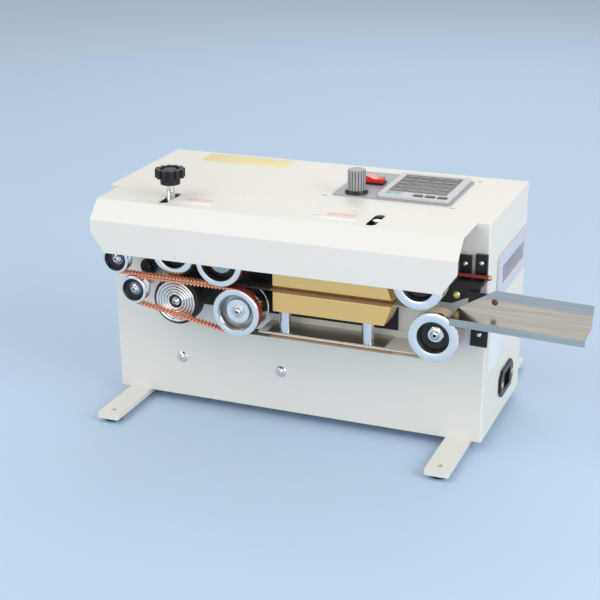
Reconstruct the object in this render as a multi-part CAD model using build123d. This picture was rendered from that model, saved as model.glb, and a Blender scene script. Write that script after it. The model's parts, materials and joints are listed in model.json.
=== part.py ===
from build123d import *
import math
import os

os.makedirs("parts", exist_ok=True)

# ---------------------------------------------------------------- driving dimensions, mm
# Frame: X along the cabinet, Y from front (-) to back (+), Z up, floor at zero.

# Cabinet
length = 390.0
depth = 150.0
body_height = 220.0
wall = 1.5
corner_r = 2.0
cover_gap = 0.3

# Feet
pad_height = 5.0
pad_r = 9.0
strap_thickness = 5.0
strap_width = 24.0
strap_inset = 23.0
strap_overhang = 74.0
bench_hole_r = 2.75
bench_hole_inset = 14.0

# Fits between moving and fixed pieces
running = 0.05
touch_gap = 0.3

# Belts
seal_line_drop = 76.0
belt_pair_half_gap = 0.15
seal_belt_thickness = 0.5
seal_belt_width = 14.5
guide_belt_thickness = 2.6
guide_belt_width = 7.0

# Wheels: belt radius is the outside of the belt that wraps the wheel
drive_belt_r = 24.2
tail_belt_r = 14.4
press_tyre_r = 24.2
press_disc_r = 22.3
press_gap = 0.75
flange_step = 0.2
front_flange = 1.8
shaft_r = 4.0
axle_shoulder_r = 6.0
drive_reach = 51.0
front_reach = 45.0
press_reach = 41.0
tail_reach = 51.0
rim_bevel = 0.5

# Wheel places along X, from the cabinet's ends
upper_tail_inset = 28.8
lower_tail_shift = 18.6
upper_press_inset = 87.5
lower_press_inset = 88.2
upper_drive_inset = 140.6
lower_drive_shift = 17.1
lower_front_inset = 38.2
upper_front_shift = 15.7

# Heater blocks
block_face_reach = 37.0
block_depth = 30.0
block_height = 21.7
block_left_gap = 49.9
block_right_gap = 41.8
block_slant = 7.6
block_chamfer = 2.4
post_r = 5.9
post_inset = 9.5
post_reach = 27.5
cartridge_r = 4.0

# Front plate, shelf and shield
plate_thickness = 3.0
plate_top = 46.0
shelf_thickness = 1.5
shelf_reach = 35.0
shelf_over_belt = 0.45
shelf_flange = 7.0
plate_over_shelf = 0.1
shield_thickness = 0.8

# Hood
hood_inset = 12.0
hood_sheet = 1.2
hood_drop = 0.5
hood_reach = 49.5
hood_bevel = 17.0
hood_skirt = 32.5
hood_flange = 5.0
hood_corner_run = 14.0
hood_corner_rise = 20.0
hood_slot_width = 9.6
hood_slot_start = 7.0
hood_slot_length = 36.0

# Pressure screw and its arm
screw_r = 4.2
screw_x_from_press = -8.5
screw_reach = 23.0
pusher_r = 6.5
knob_r = 12.2
knob_lobe_r = 2.5
knob_lobes = 12
knob_rim_height = 8.6
knob_hub_r = 9.8
knob_hub_height = 6.6
knob_clear_height = 13.8
knob_dish_r = 9.4
arm_pivot_drop = 0.0
arm_pivot_left = 39.5
arm_thickness = 7.0

# Spring bolts over the upper block
spring_bolt_r = 3.0
spring_bolt_reach = 20.0
spring_bolt_inset = 21.5
spring_r = 4.6
spring_wire = 0.6
spring_turns = 7

# Controls on the top
panel_size = (118.0, 90.0)
panel_inset = (49.0, 37.0)
panel_thickness = 1.5
controller_width = 72.0
controller_length = 86.0
controller_rise = 3.5
controller_margin = 2.0
controller_depth = 40.0
key_size = (9.0, 5.0)
key_travel = 0.8
key_seat = 1.6
key_rise = 1.0
key_floor_gap = 0.6
key_count = 3
key_pitch = 12.0
switch_from_corner = (91.0, 50.0)
switch_size = (21.0, 15.0)
rocker_size = (17.0, 11.0)
rocker_tilt = 7.0
pivot_r = 1.2
pivot_reach = 0.8
dial_from_corner = (96.5, 11.0)
dial_r = 8.8
dial_skirt_r = 11.5
dial_height = 22.5

# Infeed tray
tray_sheet = 1.0
tray_start = 21.0
tray_length = 121.0
tray_floor_width = 32.0
tray_wall_height = 21.0
tray_wall_run = 33.0
tray_lip = 7.0
tray_reach = 22.0
tray_tilt = 1.7

# Side handles and power inlet
handle_frame = (118.0, 43.5)
handle_pocket = (87.0, 17.5)
handle_depth = 20.0
handle_wall = 2.0
handle_inset = 59.0
handle_drop = 64.7
inlet_inset = 64.0
inlet_height = 44.0
inlet_flange = (50.0, 28.0)
inlet_socket = (24.0, 16.5)
inlet_depth = 16.0
inlet_screw_pitch = 40.0

# Drive train
drive_teeth = 34
pinion_teeth = 17
gear_width = 8.0
gear_inset = 11.5
bearing_r = 10.0
bearing_width = 7.0

# ---------------------------------------------------------------- places worked out from them
half_x = length / 2
face_y = -depth / 2
back_y = depth / 2
base_z = pad_height + strap_thickness
top_z = base_z + body_height
inner_face_y = face_y + wall
seal_z = top_z - seal_line_drop
strap_x = half_x - strap_inset
strap_y = back_y + strap_overhang

upper_tail_x = -half_x + upper_tail_inset
lower_tail_x = upper_tail_x + lower_tail_shift
upper_press_x = -half_x + upper_press_inset
lower_press_x = -half_x + lower_press_inset
upper_drive_x = -half_x + upper_drive_inset
lower_drive_x = upper_drive_x + lower_drive_shift
lower_front_x = half_x - lower_front_inset
upper_front_x = lower_front_x - upper_front_shift

drive_lift = belt_pair_half_gap + drive_belt_r
tail_lift = belt_pair_half_gap + tail_belt_r
press_lift = press_gap + press_tyre_r
upper_drive_z = seal_z + drive_lift
lower_drive_z = seal_z - drive_lift
upper_tail_z = seal_z + tail_lift
lower_tail_z = seal_z - tail_lift
upper_press_z = seal_z + press_lift
lower_press_z = seal_z - press_lift

drive_y = face_y - drive_reach
front_y = face_y - front_reach
press_y = face_y - press_reach
tail_y = face_y - tail_reach
guide_belt_y = drive_y + front_flange + touch_gap
seal_belt_y = guide_belt_y + guide_belt_width + 2 * touch_gap + 1.4
plate_y = face_y - plate_thickness
axle_nut_y = inner_face_y + 5.0

block_face_y = face_y - block_face_reach
block_x0 = upper_drive_x + block_left_gap
block_x1 = lower_front_x - block_right_gap
lower_block_top = seal_z - belt_pair_half_gap - seal_belt_thickness - touch_gap
upper_block_foot = seal_z + belt_pair_half_gap + seal_belt_thickness + touch_gap
lower_block_foot = lower_block_top - block_height
upper_block_top = upper_block_foot + block_height
post_y = face_y - post_reach
shelf_top = lower_drive_z - drive_belt_r + seal_belt_thickness + shelf_over_belt + shelf_thickness
shield_top = shelf_top + shield_thickness

hood_top = top_z - hood_drop
screw_x = upper_press_x + screw_x_from_press
screw_y = face_y - screw_reach
bridge_z = hood_top - 5.5
arm_pad_top = bridge_z - 14.0
arm_pivot_x = upper_press_x - arm_pivot_left
arm_pivot_z = seal_z - arm_pivot_drop
arm_y1 = press_y + 28.0
arm_y0 = arm_y1 - arm_thickness

panel_x1 = half_x - panel_inset[0]
panel_y0 = face_y + panel_inset[1]
panel_top = top_z + panel_thickness
controller_x1 = panel_x1 - controller_margin
controller_x0 = controller_x1 - controller_width
controller_y0 = panel_y0 + controller_margin
controller_y1 = controller_y0 + controller_length
controller_top = panel_top + controller_rise
dial_place = (panel_x1 - dial_from_corner[0], panel_y0 + dial_from_corner[1])
switch_place = (panel_x1 - switch_from_corner[0], panel_y0 + switch_from_corner[1])

gear_y0 = face_y + gear_inset
motor_angle = math.radians(225.0)
drive_span = math.hypot(lower_drive_x - upper_drive_x, upper_drive_z - lower_drive_z)
gear_module = drive_span / drive_teeth
motor_centres = gear_module * (drive_teeth + pinion_teeth) / 2
motor_x = lower_drive_x + motor_centres * math.cos(motor_angle)
motor_z = lower_drive_z + motor_centres * math.sin(motor_angle)
handle_z = top_z - handle_drop
handle_y = back_y - handle_inset
inlet_place = (back_y - inlet_inset, inlet_height)


# ---------------------------------------------------------------- shape helpers
def block(x0, x1, y0, y1, z0, z1):
    """A box between two opposite corners."""
    middle = ((x0 + x1) / 2, (y0 + y1) / 2, (z0 + z1) / 2)
    return Pos(*middle) * Box(x1 - x0, y1 - y0, z1 - z0)


def rod_x(y, z, r, x0, x1):
    """A cylinder along X."""
    return Pos((x0 + x1) / 2, y, z) * Rot(0, 90, 0) * Cylinder(r, x1 - x0)


def rod_y(x, z, r, y0, y1):
    """A cylinder along Y."""
    return Pos(x, (y0 + y1) / 2, z) * Rot(90, 0, 0) * Cylinder(r, y1 - y0)


def rod_z(x, y, r, z0, z1):
    """A cylinder along Z."""
    return Pos(x, y, (z0 + z1) / 2) * Cylinder(r, z1 - z0)


def ring_y(x, z, r_in, r_out, y0, y1):
    """A ring along Y."""
    return rod_y(x, z, r_out, y0, y1) - rod_y(x, z, r_in, y0 - 1, y1 + 1)


def turned_y(x, z, outline):
    """A solid turned about a Y axis from (radius, y) points."""
    return Pos(x, 0, z) * revolve(Polygon(*outline, align=None), Axis.Y)


def plate_xz(points, y0, y1):
    """A flat plate cut to an outline of (x, z) points."""
    flat = extrude(Polygon(*points, align=None), y1 - y0, dir=(0, 0, 1))
    return Pos(0, y1, 0) * Rot(90, 0, 0) * flat


def plate_yz(points, x0, x1):
    """A flat plate cut to an outline of (y, z) points."""
    flat = extrude(Plane.YZ * Polygon(*points, align=None), x1 - x0, dir=(1, 0, 0))
    return Pos(x0, 0, 0) * flat


def pad_shape(width, height, bevel):
    """A rectangle's corner points about its centre, with bevelled corners."""
    a, b = width / 2, height / 2
    return [
        (-a + bevel, -b), (a - bevel, -b), (a, -b + bevel), (a, b - bevel),
        (a - bevel, b), (-a + bevel, b), (-a, b - bevel), (-a, -b + bevel),
    ]


def dome_screw(r, height):
    """A domed cross-recess screw head on z = 0, facing +Z."""
    dome_r = (r * r + height * height) / (2 * height)
    dome = Pos(0, 0, height - dome_r) * Sphere(dome_r) & Pos(0, 0, height) * Cylinder(r, 2 * height)
    cross = Box(r * 1.1, r * 0.26, height) + Box(r * 0.26, r * 1.1, height)
    return dome - Pos(0, 0, height * 1.1) * cross


def save(name, *solids):
    """Write one node, as one solid or as a group of separate solids."""
    shape = solids[0] if len(solids) == 1 else Compound(children=list(solids))
    export_step(shape, f"parts/{name}.step")


# ---------------------------------------------------------------- cabinet
def wheel_places():
    """Centre of every wheel, as (x, z)."""
    return {
        "upper_tail": (upper_tail_x, upper_tail_z),
        "lower_tail": (lower_tail_x, lower_tail_z),
        "upper_press": (upper_press_x, upper_press_z),
        "lower_press": (lower_press_x, lower_press_z),
        "upper_drive": (upper_drive_x, upper_drive_z),
        "lower_drive": (lower_drive_x, lower_drive_z),
        "upper_front": (upper_front_x, upper_drive_z),
        "lower_front": (lower_front_x, lower_drive_z),
    }


def panel_holes(y0, y1):
    """Holes through the front wall for the two drive shafts and the fixed axles."""
    places = wheel_places()
    holes = [rod_y(*places[n], shaft_r + 1.0, y0, y1) for n in ("upper_drive", "lower_drive")]
    for name in ("upper_tail", "lower_tail", "lower_press", "upper_front", "lower_front"):
        holes.append(rod_y(*places[name], shaft_r + touch_gap, y0, y1))
    holes.append(rod_y(arm_pivot_x, arm_pivot_z, shaft_r + touch_gap, y0, y1))
    return holes


def inlet_body(gap):
    """The inlet's rear body, or its cut-out when a gap is given."""
    y, z = inlet_place
    outline = [(y + a, z + b) for a, b in pad_shape(29 + 2 * gap, 21 + 2 * gap, 4)]
    return plate_yz(outline, half_x - inlet_depth - 6, half_x)


def handle_cup(side, grow):
    """The part of a side handle that sits inside the wall, solid."""
    a = handle_pocket[0] / 2 + handle_wall + grow
    b = handle_pocket[1] / 2 + handle_wall + grow
    x_out = side * half_x
    x_in = side * (half_x - handle_depth - handle_wall)
    x0, x1 = sorted((x_in, x_out))
    return block(x0, x1, handle_y - a, handle_y + a, handle_z - b, handle_z + b)


def cabinet_shell():
    """Front, top and both ends folded from one sheet, open at the back and below."""
    outer = block(-half_x, half_x, face_y, back_y, base_z, top_z)
    edges = outer.edges().filter_by(Axis.Y).group_by(Axis.Z)[-1] + outer.edges().filter_by(
        Axis.X).group_by(Axis.Z)[-1].group_by(Axis.Y)[0] + outer.edges().filter_by(
        Axis.Z).group_by(Axis.Y)[0]
    shell = fillet(edges, corner_r)
    shell -= block(-half_x + wall, half_x - wall, inner_face_y, back_y + 1, base_z - 1, top_z - wall)
    for hole in panel_holes(face_y - 1, inner_face_y + 1):
        shell -= hole
    for side in (-1, 1):
        shell -= handle_cup(side, cover_gap)
    shell -= inlet_body(cover_gap)
    shell -= controller_body(cover_gap)
    shell -= switch_body(cover_gap)
    shell -= rod_z(*dial_place, shaft_r + 1.0, top_z - wall - 1, top_z + 1)
    return shell


def rear_cover():
    """Back panel between the cabinet's folds, with vent slots low and high."""
    x1 = half_x - wall - cover_gap
    z0 = base_z + wall + cover_gap
    z1 = top_z - wall - cover_gap
    cover = block(-x1, x1, back_y - wall, back_y, z0, z1)
    slot_length, slot_height, slot_pitch, slots = 46.0, 3.0, 8.0, 6
    for bank_x in (-0.28 * length, 0.28 * length):
        for bank_z in (base_z + 0.2 * body_height, top_z - 0.36 * body_height):
            for row in range(slots):
                z = bank_z + row * slot_pitch
                cover -= block(bank_x - slot_length / 2, bank_x + slot_length / 2,
                               back_y - wall - 1, back_y + 1, z, z + slot_height)
    return cover


def base_plate():
    """Bottom panel inside the cabinet's walls, drilled for the foot bolts."""
    x1 = half_x - wall - cover_gap
    plate = block(-x1, x1, inner_face_y + cover_gap, back_y, base_z, base_z + wall)
    for x, y in foot_bolt_places():
        plate -= rod_z(x, y, 2.7, base_z - 1, base_z + wall + 1)
    return plate


def foot_bolt_places():
    """Where the straps are bolted to the base plate."""
    y = 0.36 * depth
    return [(sx * strap_x, sy * y) for sx in (-1, 1) for sy in (-1, 1)]


def bench_hole_places():
    """The four bench-bolt holes, one near each strap end."""
    y = strap_y - bench_hole_inset
    return [(sx * strap_x, sy * y) for sx in (-1, 1) for sy in (-1, 1)]


def foot_straps():
    """Two flat bars across the bottom that reach out in front and behind."""
    straps = []
    for sx in (-1, 1):
        x0 = sx * strap_x - strap_width / 2
        bar = block(x0, x0 + strap_width, -strap_y, strap_y, pad_height, base_z)
        bar = fillet(bar.edges().filter_by(Axis.Z), 2.5)
        straps.append(bar)
    for i, bar in enumerate(straps):
        for x, y in bench_hole_places():
            bar -= rod_z(x, y, bench_hole_r, pad_height - 1, base_z + 1)
        for x, y in foot_bolt_places():
            bar -= rod_z(x, y, 2.7, pad_height - 1, base_z + 1)
        straps[i] = bar
    return straps


def foot_pads():
    """Rubber rings under the bench holes."""
    return [rod_z(x, y, pad_r, 0, pad_height) - rod_z(x, y, bench_hole_r, -1, pad_height + 1)
            for x, y in bench_hole_places()]


# ---------------------------------------------------------------- hood
def hood_sheet_outline(y_back, reach, top, drop, bevel, thickness):
    """Side outline of the folded hood as (y, z) points, outer line then inner line."""
    y1 = y_back - reach
    y2 = y1 - bevel
    t = thickness
    soft = t * math.tan(math.radians(22.5))
    outer = [(y_back, top - hood_flange), (y_back, top), (y1, top), (y2, top - bevel), (y2, drop)]
    inner = [(y2 + t, drop), (y2 + t, top - bevel - soft), (y1 + soft, top - t)]
    inner += [(y_back - t, top - t), (y_back - t, top - hood_flange)]
    return outer + inner


def hood():
    """Folded sheet cover over the wheels, open at both ends and below."""
    x1 = half_x - hood_inset
    foot = hood_top - hood_bevel - hood_skirt
    outline = hood_sheet_outline(face_y, hood_reach, hood_top, foot, hood_bevel, hood_sheet)
    cover = plate_yz(outline, -x1, x1)
    skirt_y = face_y - hood_reach - hood_bevel
    for side in (-1, 1):
        corner = [
            (side * x1, foot - 1), (side * (x1 + 1), foot - 1), (side * (x1 + 1), foot + hood_corner_rise),
            (side * x1, foot + hood_corner_rise), (side * (x1 - hood_corner_run), foot),
            (side * (x1 - hood_corner_run), foot - 1),
        ]
        cover -= plate_xz(corner, skirt_y - 1, skirt_y + hood_sheet + 1)
    for x in (screw_x, block_x1 - spring_bolt_inset):
        y1 = face_y - hood_slot_start
        y0 = y1 - hood_slot_length
        r = hood_slot_width / 2
        z0, z1 = hood_top - 2 * hood_sheet, hood_top + 1
        cover -= block(x - r, x + r, y0 + r, y1 - r, z0, z1)
        cover -= rod_z(x, y0 + r, r, z0, z1)
        cover -= rod_z(x, y1 - r, r, z0, z1)
    return cover


# ---------------------------------------------------------------- wheels, axles and belts
def grooved_wheel(x, z, y, belt_r, widths, recess_r, recess_depth, hub_r, hub_back, bore):
    """A wheel with flanges; widths are front flange, then (seat radius, flange radius, width) steps."""
    edge = belt_r - flange_step
    outline = [(bore, y + hub_back), (hub_r, y + hub_back), (hub_r, y + recess_depth)]
    outline += [(recess_r, y + recess_depth), (recess_r, y + rim_bevel), (recess_r + rim_bevel, y)]
    outline += [(edge - rim_bevel, y), (edge, y + rim_bevel), (edge, y + front_flange)]
    at = y + front_flange
    for radius, width in widths:
        outline += [(radius, at), (radius, at + width)]
        at += width
    outline.append((bore, at))
    return turned_y(x, z, outline)


def guide_seat_r(belt_r):
    """Seat radius under a toothed guide belt."""
    return belt_r - guide_belt_thickness - touch_gap


def seal_seat_r():
    """Seat radius under a sealing belt."""
    return drive_belt_r - seal_belt_thickness - touch_gap


def drive_wheel(x, z):
    """Big driven wheel: toothed-belt seat in front, sealing-belt seat behind."""
    guide_width = guide_belt_width + 2 * touch_gap
    steps = [
        (guide_seat_r(drive_belt_r), guide_width),
        (drive_belt_r - 2 * flange_step, 1.1),
        (seal_seat_r(), seal_belt_width + 2 * touch_gap),
        (drive_belt_r - flange_step, 1.4),
    ]
    return grooved_wheel(x, z, drive_y, drive_belt_r, steps, 16.6, 9.0, 12.0, 6.0, shaft_r)


def front_wheel(x, z):
    """Infeed-end wheel that carries only the sealing belt, on a ball bearing."""
    lead = seal_belt_y - touch_gap - front_y - front_flange
    steps = [
        (drive_belt_r - flange_step, lead),
        (seal_seat_r(), seal_belt_width + 2 * touch_gap),
        (drive_belt_r - flange_step, 1.4),
    ]
    return grooved_wheel(x, z, front_y, drive_belt_r, steps, 13.6, 8.0, 10.0, 8.5, 8.0 + running)


def tail_wheel(x, z):
    """Small wheel at the outfeed end of a toothed belt, on a ball bearing."""
    steps = [
        (guide_seat_r(tail_belt_r), guide_belt_width + 2 * touch_gap),
        (tail_belt_r - flange_step, 1.4),
        (8.5, 2.0),
    ]
    return grooved_wheel(x, z, tail_y, tail_belt_r, steps, 9.6, 4.0, 7.6, 4.4, 6.5 + running)


def lower_press_wheel():
    """Ribbed metal disc in front of a black tyre."""
    y = press_y
    outline = [(shaft_r + running, y + 3.0)]
    ribs = 4
    pitch = (press_disc_r - 7.0) / ribs
    outline.append((6.5, y + 3.0))
    for i in range(ribs):
        r = 7.0 + i * pitch
        outline += [(r, y + 0.4), (r + 0.6 * pitch, y), (r + 0.8 * pitch, y + 1.2)]
    outline += [(press_disc_r, y + 0.3), (press_disc_r, y + 1.8), (press_tyre_r, y + 2.6)]
    outline += [(press_tyre_r, y + 17.0), (shaft_r + running, y + 17.0)]
    return turned_y(lower_press_x, lower_press_z, outline)


def upper_press_wheel():
    """Plain rimmed disc in front of a black tyre, on the swinging arm's axle."""
    y = press_y
    bore = shaft_r + running
    outline = [(bore, y + 5.0), (10.0, y + 5.0), (10.0, y + 7.0), (15.2, y + 7.0), (15.2, y)]
    outline += [(press_disc_r - rim_bevel, y), (press_disc_r, y + rim_bevel)]
    outline += [(press_disc_r, y + 1.8), (press_tyre_r, y + 2.6), (press_tyre_r, y + 17.0)]
    outline += [(bore, y + 17.0)]
    return turned_y(upper_press_x, upper_press_z, outline)


def wheel_axles():
    """Fixed axles of the five free wheels and the arm's pivot bolt, each with its front cap."""
    places = wheel_places()
    axles = []
    for name in ("upper_tail", "lower_tail"):
        x, z = places[name]
        axles.append(fixed_axle(x, z, tail_y + 3.6, tail_y + 14.4, 5.2))
    for name in ("upper_front", "lower_front"):
        x, z = places[name]
        axles.append(fixed_axle(x, z, front_y + 7.4, front_y + 22.0, 8.4))
    x, z = places["lower_press"]
    axles.append(fixed_axle(x, z, press_y + 1.2, press_y + 17.0 + touch_gap, 3.8))
    pivot = rod_y(arm_pivot_x, arm_pivot_z, shaft_r, arm_y0 - touch_gap, axle_nut_y)
    pivot += rod_y(arm_pivot_x, arm_pivot_z, axle_shoulder_r, arm_y1 + touch_gap, face_y)
    pivot += rod_y(arm_pivot_x, arm_pivot_z, axle_shoulder_r, arm_y0 - touch_gap - 3, arm_y0 - touch_gap)
    pivot += rod_y(arm_pivot_x, arm_pivot_z, 7.0, inner_face_y, axle_nut_y)
    axles.append(pivot)
    return axles


def fixed_axle(x, z, cap_y, shoulder_y, cap_r):
    """An axle bolted through the front wall: cap, journal, shoulder, stub and nut."""
    axle = rod_y(x, z, shaft_r, cap_y, axle_nut_y)
    axle += rod_y(x, z, axle_shoulder_r, shoulder_y, face_y)
    axle += rod_y(x, z, 7.0, inner_face_y, axle_nut_y)
    cap = turned_y(x, z, [(0, cap_y - 1.6), (0.7 * cap_r, cap_y - 1.4), (cap_r, cap_y), (0, cap_y)])
    return axle + cap


def bearings():
    """Ball bearings: two on each drive shaft, one or two in each belt idler."""
    places = wheel_places()
    rings = []
    for name in ("upper_drive", "lower_drive"):
        x, z = places[name]
        rings.append(ring_y(x, z, shaft_r + running, bearing_r, plate_y - 14.0, plate_y))
        rings.append(ring_y(x, z, shaft_r + running, bearing_r, inner_face_y, inner_face_y + bearing_width))
    for name in ("upper_tail", "lower_tail"):
        x, z = places[name]
        rings.append(ring_y(x, z, shaft_r, 6.5, tail_y + 5.0, tail_y + 14.4))
    for name in ("upper_front", "lower_front"):
        x, z = places[name]
        rings.append(ring_y(x, z, shaft_r, 8.0, front_y + 9.0, front_y + 22.0))
    return rings


def drive_shaft(x, z):
    """Shaft from the wheel's hub through both bearings to its gear, with its hub nut."""
    shaft = rod_y(x, z, shaft_r, drive_y + 4.0, gear_y0 + gear_width + 3)
    nut = turned_y(x, z, [(shaft_r, drive_y + 3.4), (5.4, drive_y + 3.4), (6.0, drive_y + 4.0),
                          (6.0, drive_y + 6.0), (shaft_r, drive_y + 6.0)])
    return shaft, nut


def belt_loop(a, b, r_a, r_b, thickness, y, width):
    """An endless belt round two wheels of outer radius r_a (left) and r_b (right)."""
    outer = belt_solid(a, b, r_a, r_b, y, width)
    inner = belt_solid(a, b, r_a - thickness, r_b - thickness, y - 1, width + 2)
    return outer - inner


def belt_solid(a, b, r_a, r_b, y, width):
    """The filled outline of a belt: two discs and the tangent-sided plate between them."""
    (ax, az), (bx, bz) = a, b
    span = math.hypot(bx - ax, bz - az)
    heading = math.atan2(bz - az, bx - ax)
    lean = math.acos((r_a - r_b) / span)
    corners = []
    tangents = (((ax, az), r_a, 1), ((ax, az), r_a, -1), ((bx, bz), r_b, -1), ((bx, bz), r_b, 1))
    for (x, z), r, sign in tangents:
        angle = heading + sign * lean
        corners.append((x + r * math.cos(angle), z + r * math.sin(angle)))
    body = plate_xz(corners, y, y + width)
    body += rod_y(ax, az, r_a, y, y + width)
    body += rod_y(bx, bz, r_b, y, y + width)
    return body


# ---------------------------------------------------------------- front plate, shelf and heater blocks
def mounting_plate():
    """Black steel plate on the front wall behind the drive wheels and the blocks."""
    x0 = lower_press_x - 15.0
    x1 = block_x1 - 5.0
    foot = shelf_top + shelf_flange + plate_over_shelf
    plate = block(x0, x1, plate_y, face_y, foot, seal_z + plate_top)
    for name in ("upper_drive", "lower_drive"):
        plate -= rod_y(*wheel_places()[name], shaft_r + 1.0, plate_y - 1, face_y + 1)
    plate -= rod_y(lower_press_x, lower_press_z, axle_shoulder_r + touch_gap, plate_y - 1, face_y + 1)
    return plate


def shelf():
    """Folded shelf under the lower block, with its flange up against the front wall."""
    x0 = block_x0 - 16.5
    x1 = lower_front_x - 18.8
    y0 = face_y - shelf_reach
    shape = block(x0, x1, y0, face_y, shelf_top - shelf_thickness, shelf_top)
    shape += block(x0, x1, face_y - shelf_thickness, face_y, shelf_top, shelf_top + shelf_flange)
    return shape


def heat_shield():
    """Bright plate lying on the shelf between the shelf's ends."""
    y0 = face_y - shelf_reach + 1.0
    shield = block(block_x0 - 7.5, block_x1 - 8.0, y0, face_y - shelf_thickness, shelf_top, shield_top)
    return shield


def block_post_places():
    """The two posts that carry the lower block."""
    return [(block_x0 + post_inset, post_y), (block_x1 - 26.0, post_y)]


def block_posts():
    """Polished posts between the shield and the lower block."""
    return [rod_z(x, y, post_r, shield_top, lower_block_foot) for x, y in block_post_places()]


def cartridge_places():
    """Centres of the heater cartridges, as (y, z), upper then lower."""
    y = block_face_y + 0.62 * block_depth
    return [(y, upper_block_foot + block_height / 2), (y, lower_block_foot + block_height / 2)]


def heater_block(z0, z1, seal_is_below):
    """A long block with a slanted right end, a bevel at the belt and a cartridge bore."""
    y0, y1 = block_face_y, block_face_y + block_depth
    near, far = (z0, z1) if seal_is_below else (z1, z0)
    outline = [(block_x0, near), (block_x1, near), (block_x1 - block_slant, far), (block_x0, far)]
    shape = plate_xz(outline, y0, y1)
    bevel_z = near + block_chamfer * (1 if seal_is_below else -1)
    bevel = [(y0, near), (y0 + block_chamfer, near), (y0, bevel_z)]
    shape -= plate_yz(bevel, block_x0 - 1, block_x1 + 1)
    y, z = cartridge_places()[0 if seal_is_below else 1]
    shape -= rod_x(y, z, cartridge_r, block_x0 - 1, block_x1 - block_slant - 12.0)
    return shape


def heater_cartridges():
    """Cartridge heaters pressed into the blocks from the left."""
    x1 = block_x1 - block_slant - 12.0
    return [rod_x(y, z, cartridge_r, block_x0 - 4.0, x1) for y, z in cartridge_places()]


def spring_bolt_xs():
    """Where the two sprung bolts stand on the upper block."""
    return [block_x0 + spring_bolt_inset, block_x1 - spring_bolt_inset]


def spring_bolts():
    """Bolts that hold the upper block down, with heads above their bracket."""
    y = face_y - spring_bolt_reach
    bolts = []
    for x in spring_bolt_xs():
        bolt = rod_z(x, y, spring_bolt_r, upper_block_top, bridge_z + 3.6)
        bolt += rod_z(x, y, 4.4, bridge_z + 0.2, bridge_z + 3.6)
        bolts.append(bolt)
    return bolts


def block_springs():
    """Closed coils between the upper block and the bracket, each ring one turn."""
    y = face_y - spring_bolt_reach
    z0 = upper_block_top
    z1 = bridge_z - plate_thickness
    coils = []
    pitch = (z1 - z0 - 2 * spring_wire) / (spring_turns - 1)
    for x in spring_bolt_xs():
        for turn in range(spring_turns):
            coils.append(Pos(x, y, z0 + spring_wire + turn * pitch) * Torus(spring_r, spring_wire))
    return coils


# ---------------------------------------------------------------- pressure screw, arm and knob
def pressure_brackets():
    """Two angle brackets on the front wall: one for the screw, one over the blocks."""
    z1 = bridge_z
    z0 = z1 - plate_thickness
    left = block(screw_x - 12, screw_x + 12, screw_y - 10, face_y, z0, z1)
    left += block(screw_x - 12, screw_x + 12, plate_y, face_y, z0 - 12, z0)
    left -= rod_z(screw_x, screw_y, screw_r + running, z0 - 1, z1 + 1)
    xs = spring_bolt_xs()
    y_bolt = face_y - spring_bolt_reach
    right = block(xs[0] - 9, xs[1] + 9, y_bolt - 8, face_y, z0, z1)
    right += block(xs[0] - 9, xs[1] + 9, plate_y, face_y, z0 - 12, z0)
    for x in xs:
        right -= rod_z(x, y_bolt, spring_bolt_r + touch_gap, z0 - 1, z1 + 1)
    return left, right


def pressure_screw():
    """Screw from the knob down through its bracket; its end turns in the pusher."""
    return rod_z(screw_x, screw_y, screw_r, arm_pad_top + 1.3, hood_top + knob_clear_height)


def star_knob():
    """Lobed hand knob with a stepped hub and a dished top."""
    z0 = hood_top + knob_clear_height
    z1 = z0 + knob_hub_height
    z2 = z1 + knob_rim_height
    rim = Cylinder(knob_r, knob_rim_height)
    for lobe in range(knob_lobes):
        turn = 2 * math.pi * lobe / knob_lobes
        place = Pos(knob_r * math.cos(turn), knob_r * math.sin(turn), 0)
        rim += place * Cylinder(knob_lobe_r, knob_rim_height)
    knob = Pos(screw_x, screw_y, (z1 + z2) / 2) * rim
    knob += rod_z(screw_x, screw_y, knob_hub_r, z0, z1)
    knob -= rod_z(screw_x, screw_y, knob_dish_r, z2 - 1.6, z2 + 1)
    knob += rod_z(screw_x, screw_y, knob_dish_r - 3.0, z2 - 1.6, z2 - 0.6)
    return knob


def pressure_pusher():
    """Swivel cup on the screw's end that rises and falls with it and pushes the arm."""
    z0 = arm_pad_top + running
    cup = rod_z(screw_x, screw_y, pusher_r, z0 + 1.0, z0 + 6.0)
    cup += rod_z(screw_x, screw_y, 2.0, z0, z0 + 1.0)
    cup -= rod_z(screw_x, screw_y, screw_r + running, z0 + 1.2, z0 + 7.0)
    return cup


def press_arm():
    """Swinging plate from its pivot to the press wheel's axle, with a raised pad for the screw."""
    boss = 8.0
    neck = 6.0
    shape = rod_y(arm_pivot_x, arm_pivot_z, boss, arm_y0, arm_y1)
    shape += rod_y(upper_press_x, upper_press_z, boss, arm_y0, arm_y1)
    run_x = upper_press_x - arm_pivot_x
    run_z = upper_press_z - arm_pivot_z
    span = math.hypot(run_x, run_z)
    off_x, off_z = -neck * run_z / span, neck * run_x / span
    shape += plate_xz([
        (arm_pivot_x + off_x, arm_pivot_z + off_z), (arm_pivot_x - off_x, arm_pivot_z - off_z),
        (upper_press_x - off_x, upper_press_z - off_z), (upper_press_x + off_x, upper_press_z + off_z),
    ], arm_y0, arm_y1)
    shape += block(screw_x - 7, screw_x + 7, arm_y0, arm_y1, upper_press_z, arm_pad_top)
    shape += block(screw_x - 7, screw_x + 7, screw_y - 5, arm_y1, arm_pad_top - 3, arm_pad_top)
    shape -= rod_y(arm_pivot_x, arm_pivot_z, shaft_r + running, arm_y0 - 1, arm_y1 + 1)
    shape -= rod_y(upper_press_x, upper_press_z, shaft_r, arm_y0 - 1, arm_y1 + 1)
    return shape


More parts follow.
